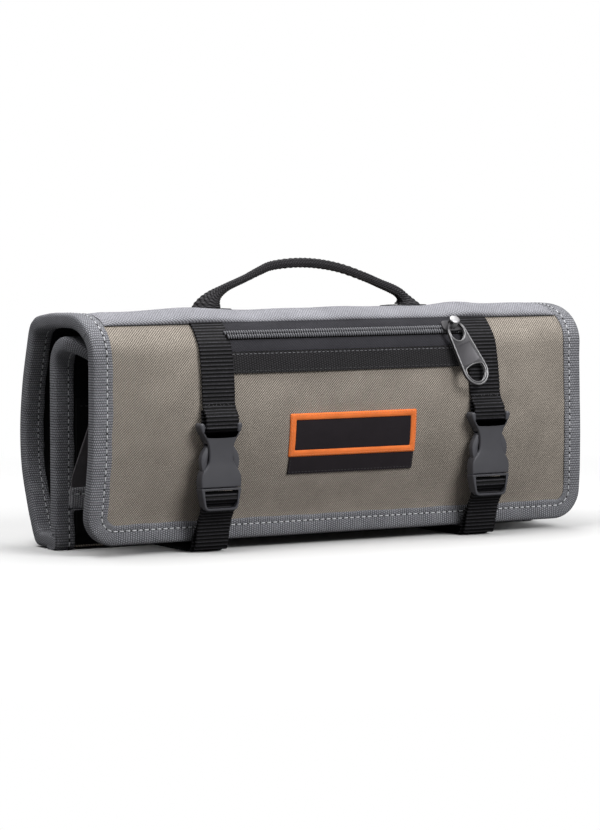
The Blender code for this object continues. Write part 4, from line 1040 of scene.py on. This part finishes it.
def lower_strap(side, word):
    """Webbing that comes from under the roll, round the plug's ladder bar and down in a tail."""
    local = lambda out, up: (BUCKLE_D - out, MOUTH_Z + up)
    front = WEB_MIDDLE + WEB_T + 0.3
    path = [(14.7, 0.8)] + arc((EDGE_D + 0.4, 0.8 + 4.6), 4.6, 270, 190, 6)
    path += [(1.2, 11), (-3.0, 18), local(WEB_MIDDLE, -PLUG_L - 0.5), local(WEB_MIDDLE, -12.2)]
    path += arc(local(LADDER_OUT, LADDER_UP), 1.4 + 1.3 + WEB_T / 2, 25, 225, 12)
    path += [local(3.6, -12.0), local(front, -13.6), local(front, -PLUG_L - 0.5)]
    path += [(-8.6, 24.5), (-5.8, 17.5), (-3.9, 10.5), (-2.6, 5.2), (-0.9, 2.0)]
    strap = webbing(f"strap_lower_{word}", smooth(path, 5), side * STRAP_X, phase=0.2)
    on_body(f"plug_{word}")(strap, "black_web", f"lower_strap_{word}")


# Buckles

def socket_mesh(name):
    side = smooth([(15.2, 0.0), (15.5, 3.8), (15.2, 7.4), (13.9, 10.8), (11.6, 13.7), (9.8, 16.5),
                   (9.1, 19.5), (9.1, 24.0), (9.7, 28.0), (11.1, 31.6), (13.2, 35.2), (15.1, 38.2),
                   (16.1, 41.0)], 5)
    ear = arc((14.4, 42.1), 1.8, 0, 178, 10)
    ear += smooth([(12.6, 41.0), (12.6, 38.6), (12.3, 36.6), (11.1, 35.4), (8.0, 35.0), (3.0, 34.8)], 4)
    body = soft_prism(name, mirror_loop(side + ear), 0.0, BUCKLE_T, 1.15)
    cavity = [(-13.4, -2), (13.4, -2), (13.4, 30), (-13.4, 30)]
    boolean(body, prism("cavity", cavity, 1.8, BUCKLE_T - 1.8))
    boolean(body, rod("bar", 13.6, WEB_BAR_UP, BUCKLE_T / 2, 1.5), "UNION")
    return bake_shape(body, 40)


def plug_mesh(name):
    edge = smooth([(7.5, -15.8), (10.4, -15.6), (12.2, -14.6), (13.1, -12.4), (14.1, -8.0), (15.0, -3.5),
                   (15.4, -1.2), (15.2, -0.5)], 5)
    body = soft_prism(name, mirror_loop(edge), 0.1, BUCKLE_T - 0.1, 0.8)
    window = [(12.9, -1.9)]
    window += smooth([(12.9, -4.0), (12.5, -8.0), (11.9, -11.6), (10.7, -13.8), (8.6, -14.4)], 4)
    boolean(body, prism("hole", mirror_loop(window), -2, BUCKLE_T + 2))
    slot = [(-12.8, -20), (12.8, -20), (12.8, -12), (-12.8, -12)]
    boolean(body, prism("slot", slot, -2, 4.2))
    boolean(body, rod("bar", 13.6, LADDER_UP, LADDER_OUT, 1.4), "UNION")
    tongue = [(-2, -1.8), (2, -1.8), (2, 23), (1.2, 24), (-1.2, 24), (-2, 23)]
    boolean(body, prism("tongue", tongue, 2.4, 6.2), "UNION")
    return bake_shape(body, 40)


def prong_mesh(name, hand):
    edge = smooth([(9.4, 0.1), (12.9, 0.1), (12.8, 7.5), (13.6, 11.5), (14.4, 15), (14.7, 18), (14.2, 21.5),
                   (12.2, 25.4), (10.3, 28.0), (8.8, 28.5), (8.0, 27.3), (8.2, 24.5), (9.6, 20.5), (10.1, 16),
                   (10.0, 9.0)], 3)
    body = prism(name, [(hand * u, v) for u, v in edge], 2.0, 6.6)
    add_bevel(body, 0.5, 2, 45)
    return bake_shape(body, 30)


def buckle_pieces():
    for side, word in SIDES:
        pieces = [(socket_mesh(f"socket_{word}"), "flap", f"buckle_socket_{word}"),
                  (plug_mesh(f"plug_frame_{word}"), f"plug_{word}", f"buckle_plug_{word}")]
        for hand, letter in ((-1, "a"), (1, "b")):
            end = f"{word}_{letter}"
            pieces.append((prong_mesh(f"prong_arm_{end}", hand), f"prong_{end}", f"buckle_prong_{end}"))
        seated = Matrix.Translation(tuple(place(side * STRAP_X, BUCKLE_D, MOUTH_Z)))
        for obj, body, node in pieces:
            obj.data.transform(seated)
            on_body(body)(obj, "buckle_plastic", node)


# Zip slider and pull

RIGHT = Vector((1, 0, 0))


def slider_frame():
    """The slider's place on the flap, the way down the flap and the way out of it."""
    low, high = (Vector(on_flap(SLIDER_X, COIL_MIDDLE + step, 0.0)) for step in (-2, 2))
    down = (high - low).normalized()
    out = RIGHT.cross(down).normalized()
    if out.y > 0:
        out = -out
    return Vector(on_flap(SLIDER_X, COIL_MIDDLE, 0.0)), down, out


def axes_matrix(origin, across, down):
    out = down.cross(across)
    if out.y > 0:
        out = -out
    return Matrix([[across[i], down[i], out[i], origin[i]] for i in range(3)] + [[0, 0, 0, 1]])


def slider_piece():
    """A satin body, and a bright arch over the pull's bar with a domed cap."""
    origin, down, out = slider_frame()
    half, wide = 7.5, 4.6
    high = SLIDER_LOW + SLIDER_T
    plan = smooth([(-half, 0), (-half + 0.6, -wide + 1.2), (-half + 3, -wide), (0, -wide),
                   (half - 2.5, -wide + 0.2), (half, -wide + 2.2), (half, wide - 2.2),
                   (half - 2.5, wide - 0.2), (0, wide), (-half + 3, wide), (-half + 0.6, wide - 1.2),
                   (-half, 0)], 4)[:-1]
    body = prism("slider_body", plan, SLIDER_LOW, high, across_down, "satin")
    add_bevel(body, 0.6)
    bake_shape(body)
    top = high + BRIDGE_H
    foot = high - 0.6
    arch = mirror_loop([(2.2, top), (3.2, top - 0.5), (3.7, top - 1.4), (3.7, foot), (2.6, foot),
                        (2.6, top - 1.9), (2.2, top - 1.2)])
    bridge = prism("bridge", arch, -1.6, 1.6, lambda along, rise, across: (across, along, rise), "metal")
    rings, around = 9, 24
    cap = []
    for k in range(rings):
        tip = math.pi * (k + 0.5) / rings
        for i in range(around):
            turn = 2 * math.pi * i / around
            cap.append((4.1 * math.sin(tip) * math.cos(turn) * MM, 3.6 * math.sin(tip) * math.sin(turn) * MM,
                        (top + 0.1 + 0.85 * math.cos(tip)) * MM))
    boolean(bridge, new_object("cap", cap, tube_faces(rings, around), M["metal"]), "UNION")
    add_bevel(bridge, 0.3, 2)
    bake_shape(bridge)
    for obj, nodes in ((bridge, ()), (body, ("zip_slider",))):
        obj.data.transform(axes_matrix(origin, RIGHT, down))
        on_body("slider")(obj, "zip_metal", *nodes)


def pull_frame():
    """The pull's bar, its way across and the way along it, tilted and sagging onto the flap."""
    origin, down, out = slider_frame()
    bar = origin + out * (SLIDER_LOW + SLIDER_T + BRIDGE_H / 2 - 0.2) * MM - RIGHT * 0.8 * MM
    way = down * math.cos(PULL_TILT) + RIGHT * math.sin(PULL_TILT)
    across = RIGHT * math.cos(PULL_TILT) - down * math.sin(PULL_TILT)
    return bar, across, way * math.cos(PULL_SAG) - out * math.sin(PULL_SAG)


def pull_rim(name, loop, out, radius):
    """A rounded bead along a closed loop, thinner towards the bar so that the pull can swing."""
    points = np.array(loop)
    way = np.roll(points, -1, 0) - np.roll(points, 1, 0)
    way /= np.linalg.norm(way, axis=1)[:, None]
    verts, size = [], 8
    for (u, v), (du, dv) in zip(points, way):
        thick = radius * min(1.0, 0.2 + 0.8 * max(0.0, v - 1.0) / 6)
        rise = out * (0.6 + 0.4 * thick / radius)
        for k in range(size):
            a = 2 * math.pi * k / size
            swing = thick * math.cos(a)
            verts.append(((u - dv * swing) * MM, (v + du * swing) * MM, (rise + thick * math.sin(a)) * MM))
    return new_object(name, verts, tube_faces(len(points), size, closed=True), M["metal"])


def pull_piece():
    """Satin plate with bright beads round its edge and its two holes, and a bare recessed field."""
    top, end, bar_r, rim, length = 8.6, 11.7, 0.95, 2.0, 49.05
    eye_r, inside, ring_top = top - rim, end - 1.2 * rim, length - 15.5
    outline = arc((0, length - end), end, 0, 180, 28) + arc((0, top - bar_r), top, 180, 360, 24)
    eye = arc((0, top - bar_r), eye_r, 180, 360, 20) + arc((0, 14.8 - eye_r), eye_r, 0, 180, 20)
    ring = arc((0, length - end), inside, 0, 180, 24)
    ring += smooth([(-inside, ring_top + 2.6), (-inside * 0.8, ring_top + 0.6), (0, ring_top - 0.5),
                    (inside * 0.8, ring_top + 0.6), (inside, ring_top + 2.6)], 4)
    field = [(-6.9, 17.4), (6.9, 17.4), (8.6, 31.0), (4.5, 31.5), (0, 31.7), (-4.5, 31.5), (-8.6, 31.0)]
    body = prism("pull_plate", outline, -0.85, 0.85, across_down, "satin")
    for loop, low, high in ((eye, -3, 3), (ring, -3, 3), (field, 0.45, 3.0), (field, -3.0, -0.45)):
        boolean(body, prism("cut", loop, low, high, across_down, "satin"))
    add_bevel(body, 0.2, 2)
    bake_shape(body, 32)
    middle = length / 2
    shrink = lambda loop, by: [(u * (1 - by / end), v + (middle - v) * by / middle) for u, v in loop]
    beads = ((shrink(outline, 0.7), 0.62), (shrink(eye, -0.6), 0.62), (ring, 0.45))
    pieces = [(pull_rim(f"pull_rim_{word}_{n}", loop, face * 0.7, radius), ())
              for face, word in ((1, "front"), (-1, "back")) for n, (loop, radius) in enumerate(beads)]
    for obj, nodes in pieces + [(body, ("zip_pull",))]:
        obj.data.transform(axes_matrix(*pull_frame()))
        on_body("pull")(obj, "zip_metal", *nodes)


# Handle

def handle_pieces():
    """Webbing folded to a cord between two flat feet, with a braided surface."""
    runs = np.linspace(-80, 0, 800)
    depth, height = SHELL.at(runs)
    flat = runs[np.argmin(np.abs(depth - HANDLE_D) + (height < 150) * 99)]
    base_d, base_z = (float(v) for v in SHELL.at(flat, 0.6 + WEB_T + 1.5))
    # across, up, lean in degrees, half width in the front view, half depth
    keys = [(-80.2, -1.5, 90, 9.4, 9.4), (-79.5, 0.8, 86, 8.8, 9.0), (-76.8, 4.4, 66, 6.5, 7.0),
            (-73.0, 7.7, 46, 4.6, 4.6), (-68.5, 10.5, 31, 3.3, 3.3), (-62.0, 13.8, 25, 2.6, 3.0),
            (-49.1, 18.9, 24, 2.5, 2.9), (-38.0, 23.8, 24, 2.8, 3.0), (-27.4, 27.6, 16, 3.1, 3.1),
            (-8.4, 29.4, 2, 3.2, 3.1), (10.5, 28.5, -7, 3.2, 3.1), (29.4, 25.0, -14, 3.1, 3.1),
            (48.7, 18.8, -20, 3.1, 3.1), (62.0, 13.6, -22, 3.1, 3.1), (71.0, 10.2, -24, 3.3, 3.2),
            (77.3, 7.2, -42, 3.5, 3.4), (81.6, 3.7, -66, 4.2, 4.2), (84.2, 0.9, -84, 6.2, 6.6),
            (85.4, -1.5, -90, 8.6, 9.2)]
    dense = catmull([(x, z, math.radians(a), w, t) for x, z, a, w, t in keys], 14)
    verts, uvs, size = [], [], 28
    for (x, z, angle, wide, thick), along in zip(dense, run_along(dense[:, :2])):
        for k in range(size):
            a = 2 * math.pi * k / size
            c, s = math.cos(a), math.sin(a)
            braid = 0.48 * math.sin(along * 1.5 + 4 * a) * math.sin(along * 1.5 - 4 * a)
            out = (wide + braid) * math.copysign(abs(c) ** 0.8, c)
            back = (thick + braid) * math.copysign(abs(s) ** 0.75, s)
            verts.append(place(x + math.sin(angle) * out, base_d + back, base_z + z - math.cos(angle) * out))
            uvs.append((a * 3.3, along))
    handle = new_object("handle_cord", verts, tube_faces(len(dense), size), M["cord"], uvs)
    start, end = place(0, base_d, base_z - 0.8), place(0, base_d, base_z + 3.4)
    bending()(handle, "black_web", "handle")
    for side, word in SIDES:
        x = side * HANDLE_X + 1.2
        path = list(zip(*SHELL.at(np.linspace(flat - 12.5, flat + 12.5, 16), WEB_MIDDLE)))
        ON_SHELL(webbing(f"handle_patch_{word}", path, x), "black_web", f"handle_tab_{word}")
        corners = ((-9, -9), (9, -9), (9, 9), (-9, 9), (-9, -9), (9, 9))
        square = [(x + dx, flat + dr) for dx, dr in corners]
        line = stitch_row(f"handle_patch_stitches_{word}", on_shell, square, M["black_thread"],
                          2.8, 2.0, 0.28, SEWN + WEB_T)
        ON_SHELL(line, "black_web")


# Inner leaf and its curl

def leaf_pieces():
    leaf_foot()
    runs = runs_between(LEAF.start, -FOLD)
    padded_sheet(("leaf_padding", "leaf_lining_sheet"), INNER, on_leaf, runs, ON_LEAF,
                 (("leaf_cloth", "leaf_board"), ("leaf_lining",)),
                 wrinkle=lambda x, r: 0.25 * soft_noise(x, r, 24, 9))
    end_tapes("leaf_tape", on_leaf, runs, ON_LEAF, two_rows("leaf_stitches", runs[1:-1]), "leaf_edge_tape",
              (2, 4))
    surface = lambda x, r, n: place(x, LEAF_D - SEWN - n, LEAF_FOOT + r)
    wide = HALF - TAPE_W - 0.3
    pocket = panel("leaf_pocket", surface, runs_between(0, LEAF_POCKET_H), lambda r: wide, (0.0, 2.0),
                   M["lining"], lambda x, r: 0.3 * np.sin(x * math.pi / 44) ** 2 * np.clip(r / 40, 0, 1))
    ON_LEAF(pocket, "black_cloth", "leaf_pocket_sheet")
    path = [(x, LEAF_POCKET_H - 5) for x in np.linspace(-wide + 2, wide - 2, 120)]
    hem = stitch_row("leaf_pocket_stitches", surface, path, M["black_thread"], 3.6, 2.5, 0.3, 2.0)
    ON_LEAF(hem, "black_cloth")


def leaf_foot():
    """Cloth and tape that turn up from the front of the base to the foot of the leaf."""
    turn = [(LEAF_D - 0.3, 18.0), (LEAF_D - 0.3, 5.2)] + arc((LEAF_D + 3.9, 5.1), 4.2, 180, 270, 8)
    curve = Curve(turn + [(LEAF_D + 12.0, 0.9)])
    surface = on_curve(curve)
    runs = runs_between(0, curve.end, 1.0)
    start, end = (place(0, LEAF_D + 3.8, z) for z in (BASE_Z + SHEET_T, 16.5))
    seat = bending()
    wide = HALF - TAPE_W + 3
    cloth = panel("leaf_foot_cloth", surface, runs, lambda r: wide, (-1.0, 0.2), M["lining"])
    seat(cloth, "black_cloth")
    curve.end / 1000
    end_tapes("leaf_foot_tape", surface, runs, seat, [("leaf_foot_stitches_{}", runs, 1.05)],
              section=tape_section(thick=3.2))


def curl_edge(run):
    """Half the curl's width, which narrows from the leaf's as it turns forward."""
    return HALF - CURL_INSET * min(1.0, max(0.0, (run - 2.0) / 22.0)) ** 1.2


def curl_board_edge(run):
    return curl_edge(run) - BOARD_IN


def curl_pieces():
    runs = runs_between(-FOLD, FOLD, 1.0)
    seat = at_fold(on_leaf)
    padded_sheet(("curl_fold_padding", "curl_fold_lining"), INNER, on_leaf, runs, seat, half=curl_board_edge)
    end_tapes("curl_fold_tape", on_leaf, runs, seat, edge=curl_edge)
    half = HALF - CURL_INSET
    padded_sheet(("curl_padding", "curl_lining_sheet"), INNER, on_leaf,
                 runs_between(FOLD, LEAF.end - 1.5, 1.2), ON_CURL,
                 (("curl_cloth", "curl_board"), ("curl_lining",)), curl_board_edge)
    runs = runs_between(FOLD, LEAF.end - TAPE_W - 0.3, 1.2)
    end_tapes("curl_tape", on_leaf, runs, ON_CURL, [("curl_stitches_{}", runs[1:-1], 1.05)], "curl_edge_tape",
              (4, 6), curl_edge)
    path = [(x, LEAF.end, 0, -1) for x in runs_between(-half, half, 3.0)]
    ON_CURL(edge_tape("curl_hem", on_leaf, path, M["tape"], seed=4.4), "grey_tape", "curl_hem_tape")


def cover_piece():
    """Thin cover that hangs from the curl, with a grey hem along its lower edge."""
    top = np.array([float(v) for v in LEAF.at(LEAF.end, -SHEET_T - 2.4)])
    foot = np.array([COVER_D, COVER_Z])
    way = (foot - top) / np.linalg.norm(foot - top)
    hanging = [top + way * s - np.array([0.35, 0]) * math.sin(s / 26) for s in (20, 40, 60)]
    curve = Curve(smooth([top + (0, 8), top + way * 4] + hanging + [foot - way * 1.5], 8))
    half = HALF - COVER_INSET
    cover = panel("cover_sheet", on_curve(curve), runs_between(0, curve.end),
                  lambda r: half - 0.285 * max(0.0, curve.end - 22 - r), (-0.6, 0.6), M["cover"],
                  lambda x, r: 0.3 * soft_noise(x, r, 18, 12) * np.clip(r / 20, 0, 1))
    ON_CURL(cover, "charcoal_cloth", "cover_cloth")
    curve.end / 1000
    edge = Curve([tuple(foot - way * 22), tuple(foot)])
    section = [(a, n + 0.6) for a, n in tape_section(thick=1.8, narrow=1.0)]
    path = [(x, edge.end, 0, -1) for x in runs_between(-half, half, 3.0)]
    # the hem takes the lighter copy of the grey tape, painted light for the shade it hangs in
    hem = edge_tape("cover_hem", on_curve(edge), path, M["hem"], section, 6.0)
    ON_CURL(hem, "grey_tape", "cover_hem_tape")
    path = [(x, edge.end - 11) for x in np.linspace(-half + 2, half - 2, 120)]
    ON_CURL(stitch_row("cover_stitches", on_curve(edge), path, M["grey_thread"], lift=1.9), "grey_tape")


# Floor, light and camera

FLOOR_SEEN, FLOOR_LIT = (0.60, 0.61), 0.16      # the floor's colour to the camera, and to other rays
FADE_START, FADE_END = 0.38, 0.75               # where the floor turns into the white background
WORLD_LIT, WORLD_SEEN = 0.20, 1.0
FOCAL, PICTURE, SENSOR = 3200, 830, 36          # the first two in pixels, the sensor in millimetres
CAMERA_BACK = -42.64 - SHIFT - 2.6              # the camera keeps its place before the flap


def floor():
    n = Nodes("pale_floor")
    at = n.place()
    seen = n.add("ShaderNodeLightPath", {}, "Is Camera Ray")
    pale = n.ramp(n.noise(at, 3.0, 2.0), [(0.0, FLOOR_SEEN[0]), (1.0, FLOOR_SEEN[1])])
    n.finish(n.mix(seen, (FLOOR_LIT,) * 3, pale), 0.95, Specular_IOR_Level=0.0)
    far = n.add("ShaderNodeVectorMath", {0: at}, "Value", operation="LENGTH")
    away = n.add("ShaderNodeMapRange", {"Value": far, "From Min": FADE_START, "From Max": FADE_END})
    lit = Signal(n, n.shader.outputs[0])
    both = n.add("ShaderNodeMixShader", {0: away * seen, 1: lit, 2: n.add("ShaderNodeEmission", {})})
    n.put(n.tree.nodes["Material Output"].inputs[0], both)
    size = 6.0
    corners = [(-size, -size, 0), (size, -size, 0), (size, size, 0), (-size, size, 0)]
    new_object("floor", corners, [(0, 1, 2, 3)], n.mat, soft=False)


def world():
    studio = bpy.data.worlds.new("studio")
    bpy.context.scene.world = studio
    studio.use_nodes = True
    tree = studio.node_tree
    back = tree.nodes["Background"]
    path = tree.nodes.new("ShaderNodeLightPath")
    mix = tree.nodes.new("ShaderNodeMix")
    tree.links.new(path.outputs["Is Camera Ray"], mix.inputs[0])
    mix.inputs[2].default_value, mix.inputs[3].default_value = WORLD_LIT, WORLD_SEEN
    tree.links.new(mix.outputs[0], back.inputs["Strength"])
    back.inputs["Color"].default_value = (1, 1, 1, 1)


def link_facing(name, data, at, way):
    """Put a light or camera in the scene, looking this way."""
    obj = bpy.data.objects.new(name, data)
    obj.location = at
    obj.rotation_euler = way.to_track_quat("-Z", "Y").to_euler()
    bpy.context.scene.collection.objects.link(obj)
    return obj


def area(name, at, to, size, power):
    light = bpy.data.lights.new(name, "AREA")
    light.size = size
    light.energy = power
    link_facing(name, light, at, Vector(to) - Vector(at))


def camera():
    data = bpy.data.cameras.new("camera")
    data.lens = FOCAL / PICTURE * SENSOR
    data.sensor_width = SENSOR
    data.clip_end = 20
    yaw, pitch = math.radians(-30.0), math.radians(-4.093)
    way = Vector((math.sin(-yaw) * math.cos(pitch), math.cos(yaw) * math.cos(pitch), math.sin(pitch)))
    at = (-1.14217, -1.95806 - CAMERA_BACK * MM, 0.24925)
    bpy.context.scene.camera = link_facing("camera", data, at, way)


shell_pieces()
flap_pieces()
zip_pieces()
label_pieces()
for (side, word), slant in zip(SIDES, ((3.4, 1.2), (-0.6, 0.0))):
    upper_strap(side, word, slant)
for side, word in SIDES:
    lower_strap(side, word)
buckle_pieces()
slider_piece()
pull_piece()
handle_pieces()
leaf_pieces()
curl_pieces()
cover_piece()
floor()
world()
area("key", (0.45, -1.35, 1.05), (0, 0, 0.08), 0.8, 27)
area("top", (0.1, 0.35, 1.45), (0, 0, 0.1), 1.4, 26)
area("fill", (-0.75, -0.25, 1.45), (-0.1, 0, 0.12), 0.9, 12)
camera()
bpy.context.scene.view_settings.view_transform = "Standard"
